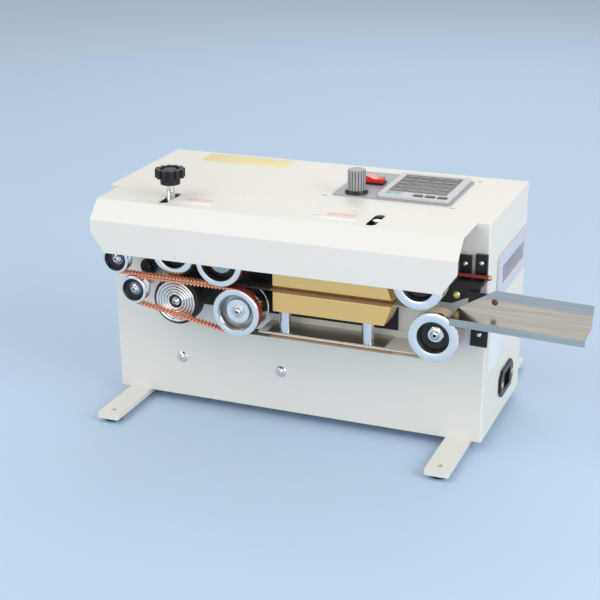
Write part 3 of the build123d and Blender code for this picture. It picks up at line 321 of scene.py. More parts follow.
@dataclass(frozen=True)
class Finish:
    """One surface finish and how its material is made.

    Colours are linear, grain sizes and widths are in millimetres, and shade is how far the colour
    drifts from light to dark over the surface.
    """

    name: str
    colour: Colour
    roughness: float
    metallic: float = 0.0
    grain: Grain = Grain.MOULDED
    grain_size: float = 0.6
    relief: float = 0.01
    shade: float = 0.05
    gloss_drift: float = 0.06
    coat: float = 0.0
    anisotropy: float = 0.0
    wear: float = 0.0
    wear_colour: Colour = (0.5, 0.5, 0.5)
    dust: float = 0.0
    specular: float = 0.5
    coat_roughness: float = 0.06
    wear_width: float = 0.5
    wear_size: float = 1.0
    dust_size: float = 25.0

    def material(self) -> bpy.types.Material:
        """The finish's material, built the first time it is asked for."""
        made = bpy.data.materials.get(self.name)
        return made if made else self._build()

    def _build(self) -> bpy.types.Material:
        """Makes the material's nodes.

        Returns:
            The new material.
        """
        material = bpy.data.materials.new(self.name)
        material.use_nodes = True
        tree = material.node_tree
        shader = tree.nodes["Principled BSDF"]
        shader.inputs["Metallic"].default_value = self.metallic
        shader.inputs["Coat Weight"].default_value = self.coat
        shader.inputs["Coat Roughness"].default_value = self.coat_roughness
        shader.inputs["Anisotropic"].default_value = self.anisotropy
        shader.inputs["Specular IOR Level"].default_value = self.specular
        place = tree.nodes.new("ShaderNodeTexCoord")
        grain = self._group(tree, GROUPS.grain(self.grain), place, {"Size": self.grain_size})
        colour = self._drift(tree, grain.outputs["Tone"])
        if self.wear > 0:
            wear = {"Width": self.wear_width, "Amount": self.wear, "Size": self.wear_size}
            mask = self._group(tree, GROUPS.edge_wear(), place, wear)
            colour = self._over(tree, colour, self.wear_colour, mask.outputs["Mask"])
        if self.dust > 0:
            film = self._group(tree, GROUPS.dust(), place, {"Amount": self.dust, "Size": self.dust_size})
            colour = self._over(tree, colour, DUST_COLOUR, film.outputs["Mask"])
        tree.links.new(colour, shader.inputs["Base Color"])
        gloss = tree.nodes.new("ShaderNodeMapRange")
        gloss.inputs["To Min"].default_value = max(SMOOTHEST, self.roughness - self.gloss_drift)
        gloss.inputs["To Max"].default_value = self.roughness + self.gloss_drift
        tree.links.new(grain.outputs["Tone"], gloss.inputs["Value"])
        tree.links.new(gloss.outputs["Result"], shader.inputs["Roughness"])
        bump = tree.nodes.new("ShaderNodeBump")
        bump.inputs["Strength"].default_value = 1.0
        bump.inputs["Distance"].default_value = self.relief * MM
        tree.links.new(grain.outputs["Height"], bump.inputs["Height"])
        tree.links.new(bump.outputs["Normal"], shader.inputs["Normal"])
        return material

    def _group(self, tree: Tree, group: Tree, place: Node, values: dict[str, float]) -> Node:
        """Places a shared group in the material.

        Args:
            tree: The material's tree.
            group: The shared group.
            place: The texture coordinate node that feeds its vector.
            values: This finish's value for each of its inputs.

        Returns:
            The group's node.
        """
        node = tree.nodes.new("ShaderNodeGroup")
        node.node_tree = group
        for label, value in values.items():
            node.inputs[label].default_value = value
        tree.links.new(place.outputs["Object"], node.inputs["Vector"])
        return node

    def _drift(self, tree: Tree, tone: Socket) -> Socket:
        """Lets the base colour drift between a darker and a lighter one.

        Args:
            tree: The material's tree.
            tone: How light the surface is at a place, 0 to 1.

        Returns:
            The drifting colour.
        """
        mix = self._mix(tree)
        for socket, factor in ((MIX_UNDER, 1 - self.shade), (MIX_OVER, 1 + self.shade)):
            mix.inputs[socket].default_value = (*(min(1.0, c * factor) for c in self.colour), 1.0)
        tree.links.new(tone, mix.inputs[MIX_FACTOR])
        return mix.outputs[MIX_RESULT]

    def _over(self, tree: Tree, under: Socket, colour: Colour, mask: Socket) -> Socket:
        """Lays a colour over another one where the mask is high.

        Args:
            tree: The material's tree.
            under: The colour below.
            colour: The colour on top.
            mask: How much of the top colour shows, 0 to 1.

        Returns:
            The mixed colour.
        """
        mix = self._mix(tree)
        mix.inputs[MIX_OVER].default_value = (*colour, 1.0)
        tree.links.new(under, mix.inputs[MIX_UNDER])
        tree.links.new(mask, mix.inputs[MIX_FACTOR])
        return mix.outputs[MIX_RESULT]

    def _mix(self, tree: Tree) -> Node:
        """Adds a colour mix node.

        Args:
            tree: The material's tree.

        Returns:
            The node.
        """
        mix = tree.nodes.new("ShaderNodeMix")
        mix.data_type = "RGBA"
        return mix


POWDER = {"grain": Grain.PEEL, "grain_size": 0.8, "wear_colour": (0.80, 0.79, 0.75)}
CREAM = Finish("cream_powder_coat", (0.775, 0.765, 0.715), 0.42, relief=0.012, shade=0.012,
               wear=0.25, dust=0.05, **POWDER)
BLACK_STEEL = Finish("black_oxide_steel", (0.016, 0.016, 0.018), 0.42, relief=0.012, shade=0.25,
                     wear=0.5, grain=Grain.PEEL, grain_size=0.6, wear_colour=(0.12, 0.12, 0.12), specular=0.3)
STAINLESS = Finish("brushed_stainless", (0.50, 0.485, 0.46), 0.20, 1.0, Grain.BRUSHED, 0.6, 0.0015, 0.30,
                   0.06, anisotropy=0.5)
SATIN_SHEET = Finish("satin_sheet", (0.60, 0.60, 0.55), 0.42, 1.0, Grain.BRUSHED, 0.5, 0.002, 0.12, 0.05)
POLISHED = Finish("turned_aluminium", (0.93, 0.91, 0.88), 0.17, 1.0, Grain.TURNED, 0.35, 0.003, 0.12, 0.07)
# Near black in wheel recesses, hubs and screw sockets: painted shade.
BORE_SHADE = Finish("bore_painted_shade", (0.022, 0.022, 0.026), 0.32, 0.3, Grain.TURNED, 0.4, 0.004, 0.2)
BORE_STEEL = Finish("bored_aluminium", (0.42, 0.42, 0.43), 0.22, 1.0, Grain.TURNED, 0.4, 0.003, 0.15)
GOLD = Finish("gold_anodised_aluminium", (0.90, 0.60, 0.22), 0.34, 0.80, Grain.BRUSHED, 0.3, 0.006, 0.05,
              wear=0.3, wear_colour=(0.86, 0.66, 0.36))
CHROME = Finish("bright_plated_steel", (0.78, 0.78, 0.80), 0.13, 1.0, Grain.MOULDED, 1.2, 0.003, 0.05, 0.04)
STEEL = Finish("machined_steel", (0.44, 0.44, 0.46), 0.34, 1.0, Grain.BRUSHED, 0.3, 0.006, 0.10)
BRASS = Finish("brass", (0.72, 0.50, 0.19), 0.24, 1.0, Grain.MOULDED, 0.8, 0.004, 0.10)
RUBBER = Finish("black_rubber", (0.018, 0.018, 0.018), 0.62, 0.0, Grain.MOULDED, 0.5, 0.02, 0.20, dust=0.10)
BLACK_PLASTIC = Finish("black_moulded_plastic", (0.017, 0.017, 0.020), 0.30, 0.0, Grain.MOULDED, 0.4, 0.008,
                       0.15, specular=0.3)
PANEL_GREY = Finish("panel_grey", (0.34, 0.37, 0.41), 0.33, 0.0, Grain.PEEL, 0.7, 0.006, 0.04)
DIAL_GREY = Finish("dial_grey_plastic", (0.34, 0.36, 0.37), 0.34, 0.0, Grain.MOULDED, 0.3, 0.008, 0.08)
BEZEL = Finish("white_bezel_plastic", (0.55, 0.56, 0.59), 0.30, 0.0, Grain.MOULDED, 0.4, 0.006, 0.02,
               coat=0.1)
KEYPAD = Finish("keypad_film", (0.105, 0.105, 0.125), 0.36, 0.0, Grain.MOULDED, 0.5, 0.006, 0.12)
KEY_FACE = Finish("keypad_button_print", (0.175, 0.175, 0.20), 0.33, 0.0, Grain.MOULDED, 0.5, 0.006, 0.10)
KEY_DARK = Finish("dark_key_plastic", (0.085, 0.085, 0.105), 0.35, 0.0, Grain.MOULDED, 0.4, 0.006, 0.10)
WINDOW = Finish("display_window", (0.10, 0.40, 0.38), 0.10, 0.0, Grain.MOULDED, 6.0, 0.001, 0.20, coat=0.6)
LILAC = Finish("lilac_moulded_plastic", (0.60, 0.61, 0.69), 0.38, 0.0, Grain.MOULDED, 0.35, 0.012, 0.03)
RED = Finish("red_gloss_plastic", (0.80, 0.016, 0.012), 0.14, 0.0, Grain.MOULDED, 3.0, 0.002, 0.12, coat=0.5)
SALMON = Finish("salmon_belt_teeth", (0.82, 0.34, 0.20), 0.50, 0.0, Grain.MOULDED, 0.3, 0.015, 0.14)
# The belt's outer sides, a darker red that is partly its own colour and partly painted shade.
BELT_BACK_AND_SHADE = Finish("red_belt_back_and_painted_shade", (0.27, 0.030, 0.018), 0.42, 0.0, Grain.WOVEN, 0.5, 0.006, 0.15)
# Gap faces between the teeth, darkened as painted shade.
BELT_GAP_SHADE = Finish("belt_gap_painted_shade", (0.19, 0.035, 0.020), 0.55, 0.0, Grain.MOULDED, 0.3, 0.015, 0.15)
TAPE = Finish("coated_glass_cloth", (0.40, 0.25, 0.14), 0.30, 0.0, Grain.WOVEN, 0.45, 0.010, 0.12, coat=0.2)
# The sealing belt's cloth darkened as painted shade and lightened as painted light, by place along the
# machine.
TAPE_SHADE = Finish("glass_cloth_painted_shade", (0.085, 0.060, 0.042), 0.30, 0.0, Grain.WOVEN, 0.45, 0.010, 0.2,
                   coat=0.2)
TAPE_LIT = Finish("glass_cloth_painted_light", (0.60, 0.50, 0.40), 0.34, 0.0, Grain.WOVEN, 0.45, 0.010, 0.08,
                    coat=0.1)
BOARD = Finish("green_circuit_board", (0.02, 0.16, 0.06), 0.30, 0.0, Grain.MOULDED, 2.0, 0.01, 0.20, coat=0.3)
SLEEVE = Finish("red_brown_sleeve", (0.22, 0.028, 0.018), 0.40, 0.0, Grain.MOULDED, 0.4, 0.01, 0.15)
COPPER = Finish("copper_tip", (0.80, 0.36, 0.20), 0.22, 1.0, Grain.MOULDED, 0.8, 0.004, 0.10)
YELLOW_LABEL = Finish("pale_yellow_label", (0.80, 0.70, 0.36), 0.45, 0.0, Grain.MOULDED, 0.5, 0.004, 0.03)
WHITE_LABEL = Finish("white_label", (0.82, 0.83, 0.85), 0.35, 0.0, Grain.MOULDED, 0.5, 0.004, 0.01)
PINK_LABEL = Finish("pale_orange_label", (0.80, 0.58, 0.50), 0.40, 0.0, Grain.MOULDED, 0.5, 0.004, 0.03)
RIVET = Finish("brown_rivet", (0.16, 0.085, 0.05), 0.35, 0.8, Grain.MOULDED, 0.6, 0.006, 0.15)
FLOOR = Finish("pale_floor", (0.50, 0.65, 0.83), 0.55, 0.0, Grain.PEEL, 4.0, 0.01, 0.01, specular=0.2)

SLOT_FINISH = {
    "cream_paint": CREAM, "black_steel": BLACK_STEEL, "stainless": STAINLESS, "polished_aluminium": POLISHED,
    "gold_anodised": GOLD, "bright_steel": CHROME, "plain_steel": STEEL, "brass": BRASS,
    "black_rubber": RUBBER, "black_plastic": BLACK_PLASTIC, "grey_plastic": PANEL_GREY,
    "white_plastic": BEZEL, "lilac_plastic": LILAC, "red_plastic": RED, "belt_salmon": SALMON,
    "seal_tape": TAPE, "board_green": BOARD, "red_sleeve": SLEEVE,
}


# ---------------------------------------------------------------- mesh makers
class Axis(Enum):
    """The frame's axes, each with its place in a vector."""

    X = 0
    Y = 1
    Z = 2


# Lengths in millimetres, angles in degrees, and a share of a plate's thickness.
ON_AXIS = 1e-6
WELD_GAP = 0.002
FLAT_ANGLE = 0.4
STRAIGHT_ANGLE = 170.0
RIM_SHARE = 0.3
def piece_of(name: str, mesh: bmesh.types.BMesh, finishes: Sequence[Finish], crease: float = 32.0) -> Piece:
    """Turns mesh data into a linked object with smooth faces and sharp creases.

    Args:
        name: The piece's name.
        mesh: The mesh data, which is freed here.
        finishes: Its finishes, in the order of the faces' material indices.
        crease: Edges bent by more than this many degrees stay sharp.

    Returns:
        The new object.
    """
    bmesh.ops.recalc_face_normals(mesh, faces=mesh.faces)
    data = bpy.data.meshes.new(name)
    mesh.to_mesh(data)
    mesh.free()
    data.shade_smooth()
    data.set_sharp_from_angle(angle=math.radians(crease))
    for finish in finishes:
        data.materials.append(finish.material())
    made = bpy.data.objects.new(name, data)
    bpy.context.scene.collection.objects.link(made)
    return made


def settle(piece: Piece, body: str, replaces: Sequence[str] = ()) -> Piece:
    """Rides a piece on its body, and hides the CAD nodes that it stands for.

    Args:
        piece: The piece.
        body: The CAD body that carries it.
        replaces: The CAD nodes that it stands for.

    Returns:
        The same piece.
    """
    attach(piece, body)
    if replaces:
        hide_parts(*replaces)
    log.info("%s rides on %s", piece.name, body)
    return piece


def dress(node: str, round_off: float, finishes: Sequence[Finish] = (),
          paint: Callable[[Vector], int] | None = None, crease: float = 34.0) -> Piece:
    """Builds the visible piece of a CAD node: the same body with its sharp edges rounded off.

    Args:
        node: The CAD node.
        round_off: Radius of the rounded edges, in millimetres.
        finishes: Its finishes; the record's slot gives one when there is none.
        paint: Picks a finish index from a face's middle, in millimetres.
        crease: Edges bent by more than this many degrees are rounded.

    Returns:
        The new piece, riding on the node's body in the node's place.
    """
    mesh = bmesh.new()
    mesh.from_mesh(frame["nodes"][node].data)
    bmesh.ops.remove_doubles(mesh, verts=mesh.verts, dist=WELD_GAP * MM)
    flat = math.radians(FLAT_ANGLE)
    bmesh.ops.dissolve_limit(mesh, angle_limit=flat, verts=mesh.verts, edges=mesh.edges)
    bmesh.ops.recalc_face_normals(mesh, faces=mesh.faces)
    limit = math.radians(crease)
    sharp = [e for e in mesh.edges if e.is_manifold and e.calc_face_angle_signed(0.0) > limit]
    if sharp and round_off > 0:
        bmesh.ops.bevel(mesh, geom=sharp, offset=round_off * MM, offset_type="OFFSET", segments=2,
                        profile=0.5, affect="EDGES", clamp_overlap=True)
    for face in mesh.faces:
        if paint:
            face.material_index = paint(face.calc_center_median() / MM)
    piece = piece_of(f"{node}_body", mesh, finishes or [SLOT_FINISH[SLOT[node]]])
    steady = piece.modifiers.new("flat_faces", "WEIGHTED_NORMAL")
    steady.keep_sharp = True
    return settle(piece, BODY[node], [node])


def dress_all(rounded: Sequence[tuple[str, float]]) -> None:
    """Builds several nodes' pieces in their slots' finishes, from (node, edge radius) pairs."""
    for node, round_off in rounded:
        dress(node, round_off)


@dataclass(frozen=True)
class Turned:
    """A body of revolution, from (radius, place along the axis, finish index) points in millimetres."""

    outline: tuple[OutlinePoint, ...]
    soften: float = 0.25
    steps: int = 96

    def corners(self) -> list[OutlinePoint]:
        """Cuts each corner off the axis back a little, for a soft edge.

        Returns:
            The outline with its corners cut.
        """
        points = self.outline
        made = []
        for i, (r, t, finish) in enumerate(points):
            before, after = points[i - 1], points[(i + 1) % len(points)]
            here = Vector((r, t))
            back = Vector(before[:2]) - here
            ahead = Vector(after[:2]) - here
            cut = min(self.soften, back.length / 3, ahead.length / 3)
            straight = back.angle(ahead, math.pi) > math.radians(STRAIGHT_ANGLE)
            if r < ON_AXIS or cut < 1e-4 or straight:
                made.append((r, t, finish))
                continue
            made.append((*(here + back.normalized() * cut), finish))
            made.append((*(here + ahead.normalized() * cut), finish))
        return made

    def build(self, name: str, place: Vector, axis: Axis, finishes: Sequence[Finish]) -> Piece:
        """Makes the piece about an axis through a place.

        Args:
            name: The piece's name.
            place: A point on the axis, in metres.
            axis: Axis.Y or Axis.Z.
            finishes: The finishes that the outline's indices pick.

        Returns:
            The new object, with its origin on the axis.
        """
        mesh = bmesh.new()
        points = self.corners()
        rings = []
        for r, t, _ in points:
            count = 1 if r < ON_AXIS else self.steps
            ring = []
            for k in range(count):
                turn = math.tau * k / count
                across, up = r * math.cos(turn), r * math.sin(turn)
                spot = (across, t, up) if axis is Axis.Y else (across, up, t)
                ring.append(mesh.verts.new(Vector(spot) * MM))
            rings.append(ring)
        for i, ring in enumerate(rings):
            far = rings[(i + 1) % len(rings)]
            finish = points[(i + 1) % len(rings)][2]
            for k in range(self.steps):
                near, ahead = k, k + 1
                loop = [ring[near % len(ring)], ring[ahead % len(ring)]]
                loop += [far[ahead % len(far)], far[near % len(far)]]
                loop = list(dict.fromkeys(loop))
                if len(loop) > 2:
                    mesh.faces.new(loop).material_index = finish
        made = piece_of(name, mesh, finishes)
        made.location = (place.x, 0.0, place.z) if axis is Axis.Y else (place.x, place.y, 0.0)
        return made


def slab(name: str, low: Vector, high: Vector, corner: float, finish: Finish, up: Axis = Axis.Z) -> Piece:
    """A thin plate with rounded corners and a softened top edge.

    Args:
        name: The piece's name.
        low: Lowest corner, in millimetres.
        high: Highest corner, in millimetres.
        corner: Radius of its corners, in millimetres.
        finish: Its finish.
        up: The axis across its thickness, Axis.X or Axis.Z.

    Returns:
        The new object.
    """
    rise = up.value
    flat = [i for i in range(3) if i != rise]
    mesh = bmesh.new()
    outline = []
    arc = 6
    for sx, sy, start in ((1, 1, 0), (-1, 1, 90), (-1, -1, 180), (1, -1, 270)):
        cx = (high if sx > 0 else low)[flat[0]] - sx * corner
        cy = (high if sy > 0 else low)[flat[1]] - sy * corner
        for k in range(arc + 1):
            turn = math.radians(start + 90 * k / arc)
            outline.append((cx + corner * math.cos(turn), cy + corner * math.sin(turn)))
    verts = []
    for a, b in outline:
        spot = Vector((0.0, 0.0, 0.0))
        spot[flat[0]], spot[flat[1]], spot[rise] = a, b, low[rise]
        verts.append(mesh.verts.new(spot * MM))
    base = mesh.faces.new(verts)
    grown = bmesh.ops.extrude_face_region(mesh, geom=[base])
    lifted = [v for v in grown["geom"] if isinstance(v, bmesh.types.BMVert)]
    lift = Vector((0.0, 0.0, 0.0))
    lift[rise] = (high[rise] - low[rise]) * MM
    bmesh.ops.translate(mesh, verts=lifted, vec=lift)
    rim = [e for e in mesh.edges if all(v in lifted for v in e.verts)]
    bmesh.ops.bevel(mesh, geom=rim, offset=RIM_SHARE * (high[rise] - low[rise]) * MM, segments=2,
                    profile=0.5, affect="EDGES", clamp_overlap=True)
    return piece_of(name, mesh, [finish])


def tube(name: str, path: Sequence[Vector], radius: float, finish: Finish, sides: int = 10) -> Piece:
    """A round wire along a path, closed at both ends.

    Args:
        name: The piece's name.
        path: Its centre line, in millimetres.
        radius: Wire radius, in millimetres.
        finish: Its finish.
        sides: Corners of its section.

    Returns:
        The new object.
    """
    mesh = bmesh.new()
    rings = []
    for i, spot in enumerate(path):
        ahead = (path[min(i + 1, len(path) - 1)] - path[max(i - 1, 0)]).normalized()
        side = ahead.cross(Vector((0, 0, 1))).normalized()
        over = side.cross(ahead)
        ring = []
        for k in range(sides):
            turn = math.tau * k / sides
            out = side * math.cos(turn) + over * math.sin(turn)
            ring.append(mesh.verts.new((spot + out * radius) * MM))
        rings.append(ring)
    for near, far in zip(rings, rings[1:]):
        for k in range(sides):
            mesh.faces.new((near[k], near[(k + 1) % sides], far[(k + 1) % sides], far[k]))
    mesh.faces.new(rings[0])
    mesh.faces.new(rings[-1])
    return piece_of(name, mesh, [finish])


def in_mm(point: Vector) -> Vector:
    """A point of the frame in millimetres."""
    return point / MM


# ---------------------------------------------------------------- cabinet
@dataclass
class Cabinet:
    """The painted box, its back cover, base and feet, and the blank labels on its top and side."""

    rounded: tuple[tuple[str, float], ...] = (
        ("cabinet_shell", 0.45), ("rear_cover", 0.45), ("base_plate", 0.45),
        ("foot_straps", 0.7), ("foot_pads", 0.6), ("cabinet_screws", 0.15),
    )
    label_lift: float = 0.12
    label_corner: float = 1.5
    top_label: tuple[float, float, float, float] = (-150.0, -53.0, 40.0, 70.0)
    side_label: tuple[float, float, float, float] = (-60.0, 8.0, 75.0, 121.0)

    def build(self) -> None:
        """Builds the cabinet's pieces."""
        dress_all(self.rounded)
        self.build_labels()

    def build_labels(self) -> None:
        """Builds the blank strip on the top and the faint plate on the right side."""
        high = in_mm(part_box("cabinet_shell")[1])
        x0, x1, y0, y1 = self.top_label
        strip = slab("top_label", Vector((x0, y0, high.z)), Vector((x1, y1, high.z + self.label_lift)),
                     self.label_corner, YELLOW_LABEL)
        settle(strip, "root")
        y0, y1, z0, z1 = self.side_label
        plate = slab("side_label", Vector((high.x, y0, z0)), Vector((high.x + self.label_lift, y1, z1)),
                     self.label_corner, WHITE_LABEL, Axis.X)
        settle(plate, "root")


@dataclass
class Hood:
    """The folded cover over the wheels, with its two blank labels."""

    sheet_round: float = 0.4
    label_size: Point = (44.0, 19.0)
    label_lift: float = 0.12
    label_corner: float = 1.0
    white_share: float = 0.52
    tint_from: Point = (0.30, 0.56)
    tint_to: float = 0.92
    label_places: tuple[Point, ...] = ((-90.0, -103.0), (55.0, -102.0))

    def build(self) -> None:
        """Builds the hood and its labels."""
        dress("hood", self.sheet_round)
        top = in_mm(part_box("hood")[1]).z
        width, height = self.label_size
        for number, (x, y) in enumerate(self.label_places, start=1):
            low = Vector((x - width / 2, y - height / 2, top))
            lift = Vector((0, 0, self.label_lift))
            white_high = low + Vector((width, self.white_share * height, 0)) + lift
            white = slab(f"hood_label_{number}", low, white_high, self.label_corner, WHITE_LABEL)
            tint_low = low + Vector((self.tint_from[0] * width, self.tint_from[1] * height, 0))
            tint_high = low + Vector((self.tint_to * width, height, 0)) + lift
            tint = slab(f"hood_label_tint_{number}", tint_low, tint_high, self.label_corner, PINK_LABEL)
            settle(white, "root")
            settle(tint, "root")


# ---------------------------------------------------------------- wheels
class Lining(IntEnum):
    """Which of a wheel's finishes a part of its outline takes."""

    BRIGHT = 0
    # Near black in recesses and hubs: painted shade.
    DARK = 1
    BORED = 2
    TYRE = 3


WHEEL_FINISHES = (POLISHED, BORE_SHADE, BORE_STEEL, RUBBER)


@dataclass
class Wheel:
    """One belt wheel: its bright front ring, its recess, near black as painted shade unless set otherwise,
    hub and belt seats.

    The outline follows the CAD wheel's steps. Radii and depths are in millimetres, and depths are
    measured back from the wheel's front face.
    """

    node: str
    recess_r: float
    recess_depth: float
    hub_r: float
    hub_depth: float
    bore: float
    steps: tuple[Point, ...]
    flange: float = 1.8
    mouth: tuple[Point, ...] = ((0.0, 2.2), (1.0, 0.8), (1.7, 0.0))
    rim_round: float = 0.7
    # Recess, hub and floor linings; the dark lining is painted shade.
    recess_finish_and_shade: Lining = Lining.DARK
    hub_finish_and_shade: Lining = Lining.BRIGHT
    floor_finish_and_shade: Lining = Lining.DARK

    def outline(self, front: float, rim: float) -> tuple[OutlinePoint, ...]:
        """The wheel's outline, from its bore out over the front face and back along its seats.

        Args:
            front: The front plane.
            rim: The flange's radius.

        Returns:
            Its (radius, y, finish) points.
        """
        bright, hub_top, floor = Lining.BRIGHT, front + self.hub_depth, front + self.recess_depth
        points = [(self.bore, hub_top, self.hub_finish_and_shade), (self.hub_r, hub_top, self.hub_finish_and_shade)]
        if self.hub_depth < self.recess_depth:
            points.append((self.hub_r, floor, Lining.BORED))
        points.append((self.recess_r, floor, self.floor_finish_and_shade))
        points += [(self.recess_r + flare, front + depth, self.recess_finish_and_shade) for flare, depth in self.mouth]
        points += [(rim - self.rim_round, front, bright), (rim, front + self.rim_round, bright)]
        points.append((rim, front + self.flange, bright))
        at = front + self.flange
        for radius, width in self.steps:
            points += [(radius, at, bright), (radius, at + width, bright)]
            at += width
        points.append((self.bore, at, bright))
        return tuple(points)

    def build(self) -> Piece:
        """Builds the wheel in the CAD wheel's place.

        Returns:
            The wheel.
        """
        low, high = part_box(self.node)
        outline = self.outline(low.y / MM, (high.x - low.x) / 2 / MM)
        made = Turned(outline).build(f"{self.node}_body", centre_of(self.node), Axis.Y, WHEEL_FINISHES)
        return settle(made, BODY[self.node], [self.node])


@dataclass
class PressWheel:
    """A press wheel: a metal disc in front of a black tyre."""

    node: str
    ribbed: bool
    disc_r: float = 22.3
    tyre_r: float = 24.2
    depth: float = 17.0
    bore: float = 4.05
    ribs: int = 5
    rib_from: float = 7.0
    rib_inset: float = 7.4
    soften: float = 0.15

    def face(self, y: float) -> list[OutlinePoint]:
        """The front face's outline from the bore to the disc's rim.

        Args:
            y: The front plane.

        Returns:
            Its (radius, y, finish) points.
        """
        # The dark lining in the recessed rings is painted shade.
        bright, dark, bored, tyre = Lining
        if not self.ribbed:
            return [(self.bore, y + 5.0, bright), (10.0, y + 5.0, bright), (10.0, y + 7.0, dark),
                    (15.2, y + 7.0, dark), (15.2, y + 0.9, dark), (16.0, y, bright),
                    (self.disc_r - 0.6, y, bright), (self.disc_r, y + 0.6, bright)]
        points = [(self.bore, y + 3.0, bright), (6.5, y + 3.0, dark)]
        pitch = (self.disc_r - self.rib_inset) / self.ribs
        for rib in range(self.ribs):
            r = self.rib_from + rib * pitch
            points += [(r, y + 0.6, bright), (r + 0.35 * pitch, y, bright),
                       (r + 0.6 * pitch, y + 0.2, bright), (r + 0.78 * pitch, y + 1.1, bored),
                       (r + 0.9 * pitch, y + 1.1, bored)]
        return points + [(self.disc_r - 1.1, y + 0.4, bright), (self.disc_r, y + 0.7, tyre)]

    def build(self) -> Piece:
        """Builds the wheel in the CAD wheel's place.

        Returns:
            The wheel.
        """
        low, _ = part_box(self.node)
        y, tyre = low.y / MM, Lining.TYRE
        back = y + self.depth
        points = self.face(y)
        points += [(self.disc_r, y + 1.9, tyre), (self.tyre_r - 0.5, y + 2.3, tyre)]
        points += [(self.tyre_r, y + 2.9, tyre), (self.tyre_r, back - 0.6, tyre)]
        points += [(self.tyre_r - 0.6, back, tyre), (self.bore, back, Lining.BRIGHT)]
        turned = Turned(tuple(points), soften=self.soften)
        made = turned.build(f"{self.node}_body", centre_of(self.node), Axis.Y, WHEEL_FINISHES)
        return settle(made, BODY[self.node], [self.node])


@dataclass(frozen=True)
class Cap:
    """The domed socket screw in a wheel's middle: its radius, depth behind the front, and body."""

    radius: float
    depth: float
    body: str


WHEEL_CAPS = {
    "upper_tail": Cap(3.2, 1.9, "root"),
    "lower_tail": Cap(3.2, 1.9, "root"),
    "upper_front": Cap(4.2, 5.7, "root"),
    "lower_front": Cap(4.2, 5.7, "root"),
    "lower_press": Cap(3.0, -0.4, "root"),
    "upper_drive": Cap(3.6, 3.3, "upper_drive"),
    "lower_drive": Cap(3.6, 3.3, "lower_drive"),
    "upper_press": Cap(3.6, 2.8, "press_arm"),
}


@dataclass
class WheelSet:
    """All eight wheels, their bearings, axles, shafts and front caps."""

    belt_gap: float = 0.3
    guide_belt: float = 2.6
    guide_width: float = 7.6
    seal_belt: float = 0.5
    seal_width: float = 15.1
    drive_r: float = 24.2
    tail_r: float = 14.4
    step: float = 0.2
    bead: float = 1.4
    drive_web: float = 1.1
    front_web: float = 2.6
    tail_boss: Point = (8.5, 2.0)
    arm_pivot: Point = (-147.0, 154.0)
    pivot_reach: float = 9.0
    shaft_round: float = 0.25
    bearing_round: float = 0.3
    cap_soften: float = 0.12
    cap_steps: int = 48

    def axle_finish(self, at: Vector) -> int:
        """Black on the press arm's pivot bolt, bright on the wheel axles."""
        away = math.hypot(at.x - self.arm_pivot[0], at.z - self.arm_pivot[1])
        return 1 if away < self.pivot_reach else 0

    def seats(self) -> dict[str, tuple[Point, ...]]:
        """The steps behind each kind of wheel's flange, where its belts run.

        Returns:
            Each kind's (radius, width) steps, from front to back.
        """
        rim = self.drive_r - self.step
        seal = (self.drive_r - self.seal_belt - self.belt_gap, self.seal_width)
        drive_groove = (self.drive_r - self.guide_belt - self.belt_gap, self.guide_width)
        tail_groove = (self.tail_r - self.guide_belt - self.belt_gap, self.guide_width)
        return {
            "drive": (drive_groove, (self.drive_r - 2 * self.step, self.drive_web), seal, (rim, self.bead)),
            "tail": (tail_groove, (self.tail_r - self.step, self.bead), self.tail_boss),
            "front": ((rim, self.front_web), seal, (rim, self.bead)),
        }

    def build(self) -> None:
        """Builds the wheels and what holds them."""
        seats = self.seats()
        # The dark lining on the hubs and recesses is painted shade.
        dark, bored = Lining.DARK, Lining.BORED
        Wheel("upper_drive_wheel", 16.6, 9.0, 12.0, 6.0, 4.0, seats["drive"], hub_finish_and_shade=bored).build()
        Wheel("lower_drive_wheel", 16.6, 9.0, 12.0, 6.0, 4.0, seats["drive"], recess_finish_and_shade=bored,
              floor_finish_and_shade=bored).build()
        for level in ("upper", "lower"):
            Wheel(f"{level}_tail_wheel", 9.6, 4.0, 7.6, 4.4, 6.55, seats["tail"], hub_finish_and_shade=dark).build()
            Wheel(f"{level}_front_wheel", 13.6, 8.0, 10.0, 8.5, 8.05, seats["front"], hub_finish_and_shade=dark).build()
        PressWheel("upper_press_wheel", False).build()
        PressWheel("lower_press_wheel", True).build()
        dress("wheel_axles", self.shaft_round, [CHROME, BLACK_STEEL], self.axle_finish)
        for node in ("upper_drive_shaft", "lower_drive_shaft", "press_axle"):
            dress(node, self.shaft_round)
        dress("bearings", self.bearing_round)
        self.build_caps()

    def build_caps(self) -> None:
        """Builds the domed socket screws in the middle of the wheels."""
        for name, cap in WHEEL_CAPS.items():
            r = cap.radius
            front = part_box(f"{name}_wheel")[0].y / MM + cap.depth
            # The socket's floor takes the near-black finish, painted shade.
            outline = ((0.0, front - 0.3, 1), (0.38 * r, front - 0.3, 1), (0.42 * r, front - 0.9, 0),
                       (0.75 * r, front - 0.7, 0), (r, front + 0.2, 0), (r, front + 0.6, 0),
                       (0.0, front + 0.6, 0))
            turned = Turned(outline, soften=self.cap_soften, steps=self.cap_steps)
            made = turned.build(f"{name}_cap", centre_of(f"{name}_wheel"), Axis.Y, [CHROME, BORE_SHADE])
            settle(made, cap.body)


